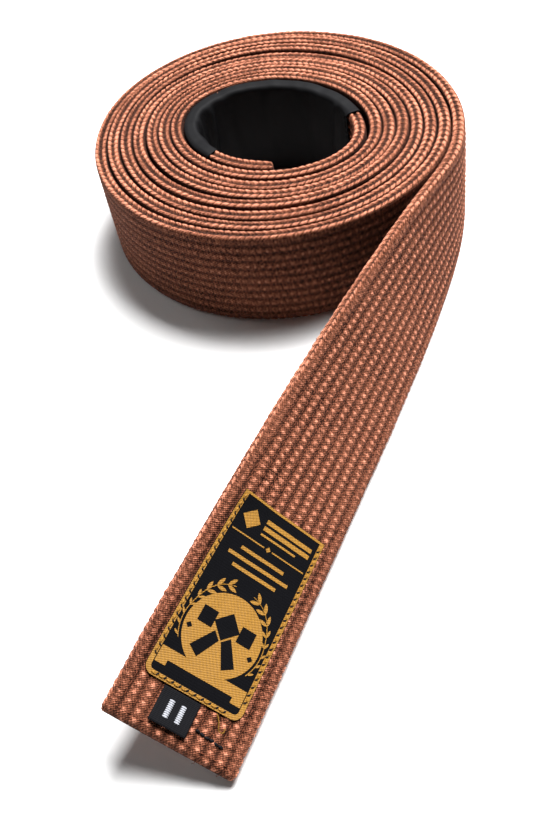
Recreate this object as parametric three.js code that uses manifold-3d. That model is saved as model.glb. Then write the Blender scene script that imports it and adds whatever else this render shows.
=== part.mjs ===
// A martial arts belt rolled up on its edge: an oval coil of about eight laps, whose outer end leaves the
// coil, turns gradually from its edge towards its back and carries a woven label and a size tab.
// Millimetres, +Z up. The coil stands on its lower edge and the free end points along -Y.
//
// Every piece is modelled in the belt's own coordinates: "along" the belt, "across" it from its lower edge,
// and "out" from its middle plane towards its front face. A frame places one cross-section in space.
import * as THREE from "three";
import { mergeVertices } from "three/addons/utils/BufferGeometryUtils.js";
import Module from "manifold-3d";

const wasm = await Module();
wasm.setup();

// Belt cross-section: two woven plies over a padded core.
const BELT_WIDTH = 45;
const PLY = 1.55;
const CORE = 1.6;
const GAP = 0.3;
const HALF = PLY + GAP + CORE / 2;
const BELT_THICKNESS = 2 * HALF;
const CORE_INSET = 1.2;

// Coil: an oval spiral, wound clockwise from its inner end as seen from above.
const COIL_X = -6.4;
const COIL_Y = 84.9;
const HOLE_RADIUS = 28.871;
const OVAL = 5;
const LAP_PITCH = BELT_THICKNESS + GAP;
const INNER_END_ANGLE = THREE.MathUtils.degToRad(-73);
const EXIT_ANGLE = THREE.MathUtils.degToRad(20);
const WHOLE_LAPS = 7;
const COIL_TURNS = WHOLE_LAPS + 1 - (EXIT_ANGLE - INNER_END_ANGLE) / (2 * Math.PI);
const TURN_STEP = 1 / 32;

// Free end: how its heading straightens, and how it leans over from standing on its edge.
const TAIL_LENGTH = 262;
const TAIL_HEADING = -Math.PI / 2;
const EXIT_TURN = THREE.MathUtils.degToRad(20);
const STRAIGHTENING = 42;
const TIP_LEAN = THREE.MathUtils.degToRad(61);
const LEAN_EASE = 0.4;
const LEAN_ONSET = 0.12;
const TAIL_STEP = 6;

// Flexing places, where the free end swings and lifts.
const SWING_GAP = 2.4;
const LIFT_AT = 130;
const LIFT_GAP = 3.2;

// Rank sleeve round the inner end.
const SLEEVE = 0.5;
const SLEEVE_FROM = 28.6;
const SLEEVE_LENGTH = 123;
const SLEEVE_ROOM = GAP + SLEEVE;
const ROOM_ENDS = 0.74;
const ROOM_FADES = 0.22;

// Threads.
const THREAD = 0.4;
const SEAM_INSET = 2.5;
const QUILT_ROWS = 11;
const QUILT_PITCH = BELT_WIDTH / (QUILT_ROWS + 1);

// Label, size tab and their threads, near the outer end.
const LABEL_FROM = 182.6;
const LABEL_LENGTH = 64.6;
const LABEL_TO = LABEL_FROM + LABEL_LENGTH;
const LABEL_LOW = 6.2;
const LABEL_WIDTH = 34;
const LABEL = 0.6;
const BORDER_INSET = 1;
const TAB_LENGTH = 10.4;
const TAB_WIDTH = 12.5;
const TAB_LOW = 19.2;
const TAB = 0.9;
const TAB_HINGE_GAP = 0.6;
const MARK_LENGTH = 5;
const MARK_WIDTH = 1.6;
const MARK_SPACING = 4;
const TACK_FROM_TIP = 6.6;
const TACK_LENGTH = 10;
const TACK_LOW = 7.3;

const COVER_COLOUR = 0xa8644c;
const CORE_COLOUR = 0xd8ccb4;
const BLACK_COLOUR = 0x17171b;
const GOLD_COLOUR = 0xd9a032;
const WHITE_COLOUR = 0xe8e8e8;

function smoothStep(x) {
  return THREE.MathUtils.smoothstep(x, 0, 1);
}

// How far the innermost lap is moved aside and up to make room for the sleeve, from 1 to 0.
function sleeveRoom(turn) {
  return 1 - smoothStep((turn - ROOM_ENDS) / ROOM_FADES);
}

function angleAt(turn) {
  return INNER_END_ANGLE - 2 * Math.PI * turn;
}

// Distance from the coil's centre to the tangent line of the middle plane.
function reach(turn) {
  const round = HOLE_RADIUS + HALF + LAP_PITCH * turn;
  return round + OVAL * Math.cos(2 * angleAt(turn)) - SLEEVE_ROOM * sleeveRoom(turn);
}

// One cross-section of the coil: its lower edge's place, the direction across and the direction out.
function coilFrame(turn) {
  const angle = angleAt(turn);
  const small = 1e-4;
  const slope = (reach(turn + small) - reach(turn - small)) / (-4 * Math.PI * small);
  const out = new THREE.Vector3(Math.cos(angle), Math.sin(angle), 0);
  const aside = new THREE.Vector3(-Math.sin(angle), Math.cos(angle), 0);
  const place = new THREE.Vector3(COIL_X, COIL_Y, SLEEVE_ROOM * sleeveRoom(turn));
  place.addScaledVector(out, reach(turn)).addScaledVector(aside, slope);
  return { place, across: new THREE.Vector3(0, 0, 1), out };
}

// The two ends of a stretch, with the whole steps that lie between them, so that the flats of neighbouring
// laps and layers face each other.
function stations(from, to, step) {
  const between = [];
  for (let i = Math.floor(from / step) + 1; i * step < to; i++) {
    between.push(i * step);
  }
  return [from, ...between, to];
}

function coilFrames(from, to) {
  return stations(from, to, TURN_STEP).map(coilFrame);
}

// The turn that lies a given length along the belt from its inner end.
function turnAtLength(length) {
  const step = 1e-3;
  let turn = 0;
  let run = 0;
  let last = coilFrame(0).place;
  while (run < length) {
    turn += step;
    const next = coilFrame(turn).place;
    run += next.distanceTo(last);
    last = next;
  }
  return turn;
}

// How far the free end leans over from its edge, in radians.
function lean(along) {
  const share = along / TAIL_LENGTH;
  const onset = 1 - Math.exp(-((share / LEAN_ONSET) ** 2));
  return TIP_LEAN * share * (1 + LEAN_EASE * (1 - share)) * onset;
}

// One cross-section of the free end, "along" millimetres past the coil.
function tailFrame(along) {
  const place = coilFrame(COIL_TURNS).place.clone();
  const steps = Math.max(1, Math.ceil(along));
  for (let i = 0; i < steps; i++) {
    const middle = ((i + 0.5) * along) / steps;
    const heading = TAIL_HEADING + EXIT_TURN * Math.exp(-middle / STRAIGHTENING);
    place.x += (Math.cos(heading) * along) / steps;
    place.y += (Math.sin(heading) * along) / steps;
  }
  const heading = TAIL_HEADING + EXIT_TURN * Math.exp(-along / STRAIGHTENING);
  const side = new THREE.Vector3(Math.sin(heading), -Math.cos(heading), 0);
  const up = new THREE.Vector3(0, 0, 1);
  const tilt = lean(along);
  const across = side.clone().multiplyScalar(Math.sin(tilt)).addScaledVector(up, Math.cos(tilt));
  const out = side.clone().multiplyScalar(-Math.cos(tilt)).addScaledVector(up, Math.sin(tilt));
  place.z = HALF * Math.sin(tilt);
  return { place, across, out };
}

function tailFrames(from, to) {
  return stations(from, to, TAIL_STEP).map(tailFrame);
}

function pointIn(frame, across, out) {
  return frame.place.clone().addScaledVector(frame.across, across).addScaledVector(frame.out, out);
}

// A closed strip of rectangular section that follows the frames. Where it twists, each four-cornered face is
// split along the diagonal that dips away from the front, so what lies on the front stays clear of it.
function strip(frames, [low, high], [back, front]) {
  const corners = [[low, back], [low, front], [high, front], [high, back]];
  const points = frames.flatMap((frame) => corners.map(([a, o]) => pointIn(frame, a, o)));
  const last = 4 * (frames.length - 1);
  const faces = [0, 2, 1, 0, 3, 2, last, last + 1, last + 2, last, last + 2, last + 3];
  for (let base = 0; base < last; base += 4) {
    for (const [side, next] of [[0, 1], [1, 2]]) {
      faces.push(base + side, base + next, base + 4 + next);
      faces.push(base + side, base + 4 + next, base + 4 + side);
    }
    for (const [side, next] of [[2, 3], [3, 0]]) {
      faces.push(base + side, base + next, base + 4 + side);
      faces.push(base + next, base + 4 + next, base + 4 + side);
    }
  }
  return new THREE.BufferGeometry().setFromPoints(points).setIndex(faces);
}

// The first geometry with the second one cut out of it.
function cut(geometry, tool) {
  const [whole, hole] = [geometry, tool].map(solid);
  const result = whole.subtract(hole).getMesh();
  const positions = new THREE.BufferAttribute(Float32Array.from(result.vertProperties), 3);
  const indices = new THREE.BufferAttribute(Uint32Array.from(result.triVerts), 1);
  return new THREE.BufferGeometry().setAttribute("position", positions).setIndex(indices);
}

function solid(geometry) {
  const merged = mergeVertices(geometry);
  const vertProperties = merged.getAttribute("position").array;
  const triVerts = Uint32Array.from(merged.index.array);
  return new wasm.Manifold(new wasm.Mesh({ numProp: 3, vertProperties, triVerts }));
}

const belt = new THREE.Group();

function add(name, geometry, color, roughness = 0.9) {
  geometry.computeVertexNormals();
  const material = new THREE.MeshStandardMaterial({ color, roughness, metalness: 0 });
  const mesh = new THREE.Mesh(geometry, material);
  mesh.name = name;
  belt.add(mesh);
}

// The belt's three layers over one stretch.
function addLayers(prefix, frames) {
  const whole = [0, BELT_WIDTH];
  add(`${prefix}_cover_front`, strip(frames, whole, [HALF - PLY, HALF]), COVER_COLOUR);
  add(`${prefix}_cover_back`, strip(frames, whole, [-HALF, PLY - HALF]), COVER_COLOUR);
  const inset = [CORE_INSET, BELT_WIDTH - CORE_INSET];
  add(`${prefix}_core`, strip(frames, inset, [-CORE / 2, CORE / 2]), CORE_COLOUR);
}

// A thread that lies across the belt, on its back face when side is -1 and on its front when it is 1.
function addSeam(name, frames, side, clear, color) {
  const near = side * (HALF + clear);
  const far = side * (HALF + clear + THREAD);
  const outRange = [Math.min(near, far), Math.max(near, far)];
  add(name, strip(frames, [SEAM_INSET, BELT_WIDTH - SEAM_INSET], outRange), color);
}

function addCoil() {
  addLayers("coil", coilFrames(0, COIL_TURNS));
  const endSeam = turnAtLength(SEAM_INSET);
  const endSeamEdge = turnAtLength(SEAM_INSET + THREAD);
  addSeam("inner_end_seam", coilFrames(endSeam, endSeamEdge), -1, GAP, COVER_COLOUR);
}

// A black cloth tube round the belt, near its inner end, and the threads that close its two ends.
function addRankSleeve() {
  const from = turnAtLength(SLEEVE_FROM);
  const to = turnAtLength(SLEEVE_FROM + SLEEVE_LENGTH);
  const outside = GAP + SLEEVE;
  const beforeStart = (Math.ceil(from / TURN_STEP) - 1) * TURN_STEP;
  const pastEnd = (Math.floor(to / TURN_STEP) + 1) * TURN_STEP;
  const outer = strip(
    coilFrames(from, to),
    [-outside, BELT_WIDTH + outside],
    [-HALF - outside, HALF + outside],
  );
  const bore = strip(coilFrames(beforeStart, pastEnd), [-GAP, BELT_WIDTH + GAP], [-HALF - GAP, HALF + GAP]);
  add("rank_sleeve", cut(outer, bore), BLACK_COLOUR, 0.6);
  const seamTurns = [
    ["rank_sleeve_seam_inner", SLEEVE_FROM + SEAM_INSET],
    ["rank_sleeve_seam_outer", SLEEVE_FROM + SLEEVE_LENGTH - SEAM_INSET - THREAD],
  ];
  for (const [name, start] of seamTurns) {
    const frames = coilFrames(turnAtLength(start), turnAtLength(start + THREAD));
    addSeam(name, frames, -1, outside + GAP, BLACK_COLOUR);
  }
}

// Rows of quilting thread on the front face. The rows that meet the label end at its upper edge.
function addQuiltRows(prefix, from, to, toBesideLabel) {
  for (let row = 1; row <= QUILT_ROWS; row++) {
    const middle = row * QUILT_PITCH;
    const besideLabel = middle + THREAD < LABEL_LOW || middle - THREAD > LABEL_LOW + LABEL_WIDTH;
    const frames = tailFrames(from, besideLabel ? toBesideLabel : to);
    const across = [middle - THREAD / 2, middle + THREAD / 2];
    const name = `${prefix}_quilt_row_${String(row).padStart(2, "0")}`;
    add(name, strip(frames, across, [HALF + GAP, HALF + GAP + THREAD]), COVER_COLOUR);
  }
}

function addTail() {
  const end = LIFT_AT - LIFT_GAP / 2;
  addLayers("tail", tailFrames(SWING_GAP, end));
  addQuiltRows("tail", SWING_GAP + 1, end - 1, end - 1);
}

function addTailEnd() {
  const start = LIFT_AT + LIFT_GAP / 2;
  addLayers("end", tailFrames(start, TAIL_LENGTH));
  const besideSeam = TAIL_LENGTH - SEAM_INSET - THREAD - GAP;
  addQuiltRows("end", start + 1, LABEL_FROM - GAP, besideSeam);
  const seamFrames = tailFrames(TAIL_LENGTH - SEAM_INSET, TAIL_LENGTH - SEAM_INSET + THREAD);
  addSeam("outer_end_seam", seamFrames, 1, GAP, COVER_COLOUR);
}

// A woven patch, and the thread sewn round just inside its edge.
function addLabel() {
  const low = HALF + GAP;
  const high = LABEL_LOW + LABEL_WIDTH;
  add("label_patch", strip(tailFrames(LABEL_FROM, LABEL_TO), [LABEL_LOW, high], [low, low + LABEL]), GOLD_COLOUR);
  const threadLow = low + LABEL + GAP;
  const threadHigh = threadLow + THREAD;
  const inner = BORDER_INSET + 2 * THREAD;
  const loop = strip(
    tailFrames(LABEL_FROM + BORDER_INSET, LABEL_TO - BORDER_INSET),
    [LABEL_LOW + BORDER_INSET, high - BORDER_INSET],
    [threadLow, threadHigh],
  );
  const window = strip(
    tailFrames(LABEL_FROM + inner, LABEL_TO - inner),
    [LABEL_LOW + inner, high - inner],
    [threadLow - 2 * GAP, threadHigh + 2 * GAP],
  );
  add("label_border_stitch", cut(loop, window), GOLD_COLOUR, 0.7);
}

// The black stitches beside the size tab, and a thread end left loose at the label's corner.
function addLooseEndThreads() {
  const along = TAIL_LENGTH - TACK_FROM_TIP;
  const outRange = [HALF + GAP, HALF + GAP + THREAD];
  const tack = strip(tailFrames(along, along + 2 * THREAD), [TACK_LOW, TACK_LOW + TACK_LENGTH], outRange);
  add("end_tack_stitch", tack, BLACK_COLOUR);
  const route = [
    [LABEL_TO + 0.8, 13.5, 0.7],
    [LABEL_TO + 2, 12, 1.1],
    [LABEL_TO + 4, 11.6, 1.3],
    [LABEL_TO + 5, 10.2, 1],
    [LABEL_TO + 3.6, 9.4, 0.7],
  ];
  const points = route.map(([at, across, rise]) => pointIn(tailFrame(at), across, HALF + rise));
  const bend = new THREE.CatmullRomCurve3(points);
  const section = new THREE.Shape();
  section.absarc(0, 0, THREAD / 2, 0, 2 * Math.PI);
  const thread = new THREE.ExtrudeGeometry(section, { curveSegments: 6, steps: 16, extrudePath: bend });
  thread.deleteAttribute("normal");
  thread.deleteAttribute("uv");
  add("loose_thread", mergeVertices(thread), GOLD_COLOUR);
}

// A folded ribbon that hangs from under the label's lower edge, with two plain bars for its size mark.
function addSizeTab() {
  const from = LABEL_TO + TAB_HINGE_GAP + GAP;
  const top = HALF + GAP + TAB;
  const ribbon = strip(tailFrames(from, from + TAB_LENGTH), [TAB_LOW, TAB_LOW + TAB_WIDTH], [HALF + GAP, top]);
  add("size_tab", ribbon, BLACK_COLOUR, 0.6);
  const markFrom = from + (TAB_LENGTH - MARK_LENGTH) / 2;
  const middle = TAB_LOW + TAB_WIDTH / 2;
  [-0.5, 0.5].forEach((side, i) => {
    const centre = middle + side * MARK_SPACING;
    const across = [centre - MARK_WIDTH / 2, centre + MARK_WIDTH / 2];
    const bar = strip(tailFrames(markFrom, markFrom + MARK_LENGTH), across, [top + GAP, top + GAP + THREAD]);
    add(`size_tab_mark_${i + 1}`, bar, WHITE_COLOUR);
  });
}

// The axes that the free end and the size tab turn about.
function hinge(frame, across, out, axis) {
  return { point: pointIn(frame, across, out).toArray(), axis: axis.toArray() };
}

addCoil();
addRankSleeve();
addTail();
addTailEnd();
addLabel();
addLooseEndThreads();
addSizeTab();

const swingFrame = tailFrame(SWING_GAP / 2);
const liftFrame = tailFrame(LIFT_AT);
const tabFrame = tailFrame(LABEL_TO + TAB_HINGE_GAP);
belt.userData.hinges = {
  tail_swing: hinge(swingFrame, 0, 0, new THREE.Vector3(0, 0, 1)),
  tail_end_lift: hinge(liftFrame, BELT_WIDTH / 2, 0, liftFrame.across),
  size_tab_flip: hinge(tabFrame, TAB_LOW + TAB_WIDTH / 2, HALF + GAP + TAB, tabFrame.across),
};

export default belt;
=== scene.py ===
"""A rolled martial arts belt, with its weave, edges, sleeve, label and threads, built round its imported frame.

Sizes are in millimetres and turn into metres where a mesh is laid on the belt. Every piece is shaped flat,
in the belt's own coordinates, and then laid along the belt: x runs along the belt from its inner end,
y across it from its lower edge, and z out of its middle plane towards its front face.
"""
import logging
import math
from dataclasses import dataclass, field
from enum import Enum
from functools import lru_cache
from typing import Iterator

import bmesh
import bpy
import numpy as np
from mathutils import Matrix, Vector


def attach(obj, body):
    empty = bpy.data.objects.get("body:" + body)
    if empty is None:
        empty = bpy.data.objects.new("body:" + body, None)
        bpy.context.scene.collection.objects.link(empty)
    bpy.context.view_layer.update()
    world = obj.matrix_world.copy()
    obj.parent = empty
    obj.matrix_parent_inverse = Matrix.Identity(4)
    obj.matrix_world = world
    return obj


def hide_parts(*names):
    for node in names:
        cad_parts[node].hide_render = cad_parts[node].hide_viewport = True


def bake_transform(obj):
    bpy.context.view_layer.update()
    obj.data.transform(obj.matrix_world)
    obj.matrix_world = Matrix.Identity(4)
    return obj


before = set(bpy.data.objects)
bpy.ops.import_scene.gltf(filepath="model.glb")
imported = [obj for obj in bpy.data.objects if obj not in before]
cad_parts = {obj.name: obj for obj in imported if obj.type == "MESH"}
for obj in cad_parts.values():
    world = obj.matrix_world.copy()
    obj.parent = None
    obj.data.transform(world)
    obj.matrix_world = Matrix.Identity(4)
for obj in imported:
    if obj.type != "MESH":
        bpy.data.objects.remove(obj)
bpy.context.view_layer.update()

MM = 0.001
UV_PER_MM = 0.01
log = logging.getLogger("belt")

Array = np.ndarray


def smooth(x: Array | float) -> Array:
    """A soft step from 0 to 1 as x goes from 0 to 1."""
    x = np.clip(x, 0.0, 1.0)
    return x * x * (3 - 2 * x)


def drift(x: Array, length: float, seed: float) -> Array:
    """Slow, uneven, repeatable variation.

    Args:
        x: Where it is read.
        length: The distance over which it changes, in the units of x.
        seed: Sets one variation apart from another.

    Returns:
        Values from about -1 to 1.
    """
    turn = 2 * math.pi * np.asarray(x, float) / length
    waves = ((1.0, 0.0, 0.5), (1.73, 1.9, 0.3), (0.57, 4.1, 0.35), (3.1, 2.6, 0.15))
    return sum(size * np.sin(turn * pace + shift + seed * (2 + pace)) for pace, shift, size in waves)


# ---------------------------------------------------------------- the belt's path


@dataclass(frozen=True)
class Slack:
    """A place where the laps inside one lap lie slack, so a dark gap opens above them."""

    azimuth: float
    spread: float
    below_turn: float
    opening: float


@dataclass
class BeltPath:
    """Where every point of the belt is: an oval spiral, then a free end that leans over."""

    width: float = 45.0
    half: float = 2.65
    centre_x: float = -6.4
    centre_y: float = 84.9
    hole_radius: float = 28.871
    oval: float = 5.0
    pitch: float = 5.6
    inner_end: float = math.radians(-73)
    exit_azimuth: float = math.radians(20)
    whole_laps: int = 7
    sleeve_room: float = 0.8
    room_ends: float = 0.74
    room_fades: float = 0.22
    tail_length: float = 262.0
    tail_heading: float = -math.pi / 2
    exit_turn: float = math.radians(20)
    straightening: float = 42.0
    tip_lean: float = math.radians(61)
    lean_ease: float = 0.4
    lean_onset: float = 0.12
    slacks: tuple[Slack, ...] = (
        Slack(math.radians(66), math.radians(62), 6.85, 1.15),
        Slack(math.radians(-98), math.radians(80), 3.32, 0.75),
        Slack(math.radians(118), math.radians(70), 5.27, 0.55),
        Slack(math.radians(60), math.radians(60), 1.13, 1.5),
    )
    lift: float = 1.2
    sleeve_lift: float = 0.55
    bulge: float = 2.4
    bulge_azimuth: float = math.radians(-97)
    bulge_spread: float = math.radians(85)
    flare: float = math.radians(3.6)
    flare_azimuth: float = math.radians(-140)
    flare_spread: float = math.radians(110)
    sway: float = 0.1
    calm_turns: float = 0.45
    table_step: float = 0.25
    turns: float = field(init=False)
    coil_length: float = field(init=False)

    def __post_init__(self) -> None:
        """Works out the coil's turns, and tables of length against turn and of the free end's route."""
        self.turns = self.whole_laps + 1 - (self.exit_azimuth - self.inner_end) / (2 * math.pi)
        self._turn = np.linspace(0, self.turns, 12000)
        places = self._coil_places(self._turn, settled=False)[0]
        steps = np.linalg.norm(np.diff(places, axis=0), axis=1)
        self._run = np.concatenate([[0.0], np.cumsum(steps)])
        self.coil_length = float(self._run[-1])
        self._along = np.arange(0, self.tail_length + 2, self.table_step)
        middle = self._along[:-1] + self.table_step / 2
        heading = self._heading(middle)
        start = self._coil_places(np.array([self.turns]), settled=False)[0][0, :2]
        legs = np.stack([np.cos(heading), np.sin(heading)], axis=1) * self.table_step
        self._route = np.concatenate([[start], start + np.cumsum(legs, axis=0)])

    def _heading(self, along: Array) -> Array:
        """The free end's direction on the floor."""
        return self.tail_heading + self.exit_turn * np.exp(-along / self.straightening)

    def azimuth(self, turn: Array) -> Array:
        """The direction of a turn from the coil's centre."""
        return self.inner_end - 2 * math.pi * turn

    def _room(self, turn: Array) -> Array:
        """How far the innermost lap gives way to the sleeve, from 1 to 0."""
        return 1 - smooth((turn - self.room_ends) / self.room_fades)

    def _reach(self, turn: Array) -> Array:
        """Distance from the centre to the belt's middle plane."""
        even = self.hole_radius + self.half + self.pitch * turn
        return even + self.oval * np.cos(2 * self.azimuth(turn)) - self.sleeve_room * self._room(turn)

    def _settling(self, turn: Array) -> tuple[Array, Array]:
        """How hand-rolled laps stray from an even spiral.

        Args:
            turn: Turns from the inner end.

        Returns:
            How far each place lies outwards, and how far above the floor.
        """
        outwards = self.sway * drift(turn, 0.61, 1.0)
        bulging = self._near(turn, self.bulge_azimuth, self.bulge_spread)
        outwards = outwards + self.bulge * bulging * turn / self.turns
        for slack in self.slacks:
            share = np.where(turn < slack.below_turn, turn / slack.below_turn, 0)
            outwards = outwards - slack.opening * self._near(turn, slack.azimuth, slack.spread) * share
        calm = self._calm(turn)
        sleeved = self._room(turn)
        rise = self.lift * calm * (1 - sleeved) * (0.5 + 0.5 * np.clip(drift(turn, 1.37, 5.0), -1, 1))
        return outwards * calm, rise - (self.sleeve_room - self.sleeve_lift) * sleeved

    def _calm(self, turn: Array) -> Array:
        """How far a turn may stray from the even spiral: 1, and down to 0 where the free end leaves."""
        return smooth((self.turns - turn) / self.calm_turns)

    def _near(self, turn: Array, azimuth: float, spread: float) -> Array:
        """How close a turn lies to an azimuth, from 1 there to 0 a spread away."""
        off = np.angle(np.exp(1j * (self.azimuth(turn) - azimuth))) / spread
        return np.where(np.abs(off) < 1, np.cos(off * math.pi / 2) ** 2, 0.0)

    def _coil_places(self, turn: Array, settled: bool = True) -> tuple[Array, Array, Array]:
        """The coil's cross-sections: place of the lower edge, direction across, direction out.

        Args:
            turn: Turns from the inner end.
            settled: Whether the laps stray from an even spiral.

        Returns:
            Three sets of rows, in millimetres for the places.
        """
        azimuth, small = self.azimuth(turn), 1e-4
        slope = (self._reach(turn + small) - self._reach(turn - small)) / (-4 * math.pi * small)
        flat = np.zeros_like(azimuth)
        out = np.stack([np.cos(azimuth), np.sin(azimuth), flat], axis=-1)
        aside = np.stack([-np.sin(azimuth), np.cos(azimuth), flat], axis=-1)
        place = out * self._reach(turn)[..., None] + aside * slope[..., None]
        place += np.array([self.centre_x, self.centre_y, 0.0])
        place[..., 2] += self.sleeve_room * self._room(turn)
        up = np.broadcast_to(np.array([0.0, 0.0, 1.0]), out.shape)
        if not settled:
            return place, up, out
        outwards, rise = self._settling(turn)
        flaring = self._near(turn, self.flare_azimuth, self.flare_spread) * self._calm(turn)
        tilt = self.flare * flaring * (turn / self.turns) ** 2
        place += out * (outwards + self.width * np.sin(tilt))[..., None]
        place[..., 2] += rise
        lean, level = np.sin(tilt)[..., None], np.cos(tilt)[..., None]
        return place, up * level - out * lean, out * level + up * lean

    def _tail_places(self, along: Array) -> tuple[Array, Array, Array]:
        """The free end's cross-sections, in the same form as the coil's.

        Args:
            along: Lengths from where the free end leaves the coil.

        Returns:
            Three sets of rows, in millimetres for the places.
        """
        share = along / self.tail_length
        onset = 1 - np.exp(-((share / self.lean_onset) ** 2))
        tilt = self.tip_lean * share * (1 + self.lean_ease * (1 - share)) * onset
        heading = self._heading(along)
        side = np.stack([np.sin(heading), -np.cos(heading), np.zeros_like(heading)], axis=-1)
        up = np.array([0.0, 0.0, 1.0])
        across = side * np.sin(tilt)[..., None] + up * np.cos(tilt)[..., None]
        out = -side * np.cos(tilt)[..., None] + up * np.sin(tilt)[..., None]
        x, y = (np.interp(along, self._along, self._route[:, i]) for i in (0, 1))
        return np.stack([x, y, self.half * np.sin(tilt)], axis=-1), across, out

    def turn_at(self, length: Array | float) -> Array:
        """The turn that lies a length along the belt from its inner end."""
        return np.interp(length, self._run, self._turn)

    def length_at(self, turn: float) -> float:
        """The length along the belt at a turn."""
        return float(np.interp(turn, self._turn, self._run))

    def lay(self, flat: Array) -> Array:
        """Lays points given in the belt's own coordinates on the belt.

        Args:
            flat: Rows of length from the inner end, height across and depth out, in millimetres.

        Returns:
            Rows of x, y and z in metres.
        """
        length, across, out = flat[:, 0], flat[:, 1], flat[:, 2]
        coil = self._coil_places(self.turn_at(np.clip(length, 0, self.coil_length)))
        tail = self._tail_places(np.clip(length - self.coil_length, 0, self.tail_length + 1))
        past = (length > self.coil_length)[:, None]
        place, up, face = (np.where(past, t, c) for t, c in zip(tail, coil))
        forward = np.cross(face, up)
        before = np.minimum(length, 0)[:, None]
        beyond = np.maximum(length - self.coil_length - self.tail_length - 1, 0)[:, None]
        laid = place + up * across[:, None] + face * out[:, None] - forward * (before + beyond)
        laid[:, 2] = np.maximum(laid[:, 2], 0.0)
        return laid * MM

    def spot(self, length: float, across: float, out: float = 0.0) -> Vector:
        """One point of the belt, in metres."""
        return Vector(self.lay(np.array([[length, across, out]]))[0])


PATH = BeltPath()
EXIT = PATH.coil_length
TIP = EXIT + PATH.tail_length


# ---------------------------------------------------------------- finishes


class NodeSheet:
    """A short way to write a material's nodes."""

    def __init__(self, name: str) -> None:
        """Starts a material with one Principled shader.

        Args:
            name: The material's name.
        """
        self.material = bpy.data.materials.new(name)
        self.material.use_nodes = True
        self.tree = self.material.node_tree
        self.shader = self.tree.nodes["Principled BSDF"]

    def add(self, kind: str, **settings: object) -> bpy.types.Node:
        """Adds a node with its properties set.

        Args:
            kind: The kind of node, without the prefix that all of them share.
            settings: Its properties.

        Returns:
            The node.
        """
        node = self.tree.nodes.new(f"ShaderNode{kind}")
        for key, value in settings.items():
            setattr(node, key, value)
        return node

    def link(self, source: object, target: object) -> None:
        """Joins an output to an input, or sets the input where the source is a plain value.

        Args:
            source: An output, or a value.
            target: The input.
        """
        if isinstance(source, bpy.types.NodeSocket):
            self.tree.links.new(source, target)
        else:
            target.default_value = source

    def maths(self, operation: str, *values: object, clamp: bool = False) -> bpy.types.NodeSocket:
        """A Math node.

        Args:
            operation: What it does.
            values: Its inputs, as sockets or numbers.
            clamp: Whether the result is kept from 0 to 1.

        Returns:
            Its output.
        """
        node = self.add("Math", operation=operation, use_clamp=clamp)
        for value, socket in zip(values, node.inputs):
            self.link(value, socket)
        return node.outputs[0]

    def blend(self, amount: object, first: object, second: object, kind: str = "MIX") -> bpy.types.NodeSocket:
        """A colour mix.

        Args:
            amount: How much of the second colour, as a socket or a number.
            first: The first colour.
            second: The second colour.
            kind: The kind of mix.

        Returns:
            The mixed colour.
        """
        node = self.add("Mix", data_type="RGBA", blend_type=kind, clamp_factor=True)
        for value, socket in zip((amount, first, second), (node.inputs[0], node.inputs[6], node.inputs[7])):
            self.link(value, socket)
        return node.outputs[2]

    def noise(self, place: object, scale: float, detail: float = 2.0) -> bpy.types.NodeSocket:
        """Noise from 0 to 1 at a scale.

        Args:
            place: The coordinates.
            scale: The scale.
            detail: How many finer layers it has.

        Returns:
            Its value.
        """
        node = self.add("TexNoise")
        self.link(place, node.inputs["Vector"])
        node.inputs["Scale"].default_value = scale
        node.inputs["Detail"].default_value = detail
        return node.outputs["Fac"]

    def place(self, kind: str = "Object") -> bpy.types.NodeSocket:
        """Object coordinates, or the piece's UV map."""
        return self.add("TexCoord").outputs[kind]

    def waves(self, place: object, turn: float, scale: float, distortion: float) -> bpy.types.NodeSocket:
        """Bands across a direction.

        Args:
            place: The coordinates.
            turn: The coordinates' turn about Z.
            scale: The bands' scale.
            distortion: How uneven they are.

        Returns:
            Values from 0 to 1.
        """
        turned = self.add("Mapping")
        self.link(place, turned.inputs["Vector"])
        turned.inputs["Rotation"].default_value = (0, 0, turn)
        node = self.add("TexWave", wave_type="BANDS", bands_direction="X", wave_profile="SIN")
        self.link(turned.outputs["Vector"], node.inputs["Vector"])
        node.inputs["Scale"].default_value = scale
        node.inputs["Distortion"].default_value = distortion
        node.inputs["Detail Scale"].default_value = 2.0
        return node.outputs["Fac"]

    def bump(self, height: object, distance: float, strength: float = 1.0) -> None:
        """Gives the shader a bump from a height.

        Args:
            height: The height, as a socket.
            distance: How far the full height stands out, in metres.
            strength: How strongly it shows.
        """
        node = self.add("Bump")
        self.link(height, node.inputs["Height"])
        node.inputs["Distance"].default_value = distance
        node.inputs["Strength"].default_value = strength
        self.link(node.outputs[0], self.shader.inputs["Normal"])

    def finish(self, colour: object, roughness: object, sheen: float = 0.0, sheen_roughness: float = 0.5,
               specular: float = 0.5) -> bpy.types.Material:
        """Sets the shader.

        Args:
            colour: Base colour, as a socket or a value.
            roughness: Roughness, as a socket or a number.
            sheen: Weight of the sheen.
            sheen_roughness: Its roughness.
            specular: Specular level.

        Returns:
            The material.
        """
        self.link(colour, self.shader.inputs["Base Color"])
        self.link(roughness, self.shader.inputs["Roughness"])
        self.shader.inputs["Sheen Weight"].default_value = sheen
        self.shader.inputs["Sheen Roughness"].default_value = sheen_roughness
        self.shader.inputs["Specular IOR Level"].default_value = specular
        return self.material


Colour = tuple[float, float, float]


def rgba(colour: Colour) -> tuple[float, float, float, float]:
    """A colour with full alpha."""
    return (*colour, 1.0)


def wave_scale(pitch: float) -> float:
    """The scale at which a wave repeats every so many millimetres of a UV map."""
    return 2 * math.pi / (20 * UV_PER_MM * pitch)


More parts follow.
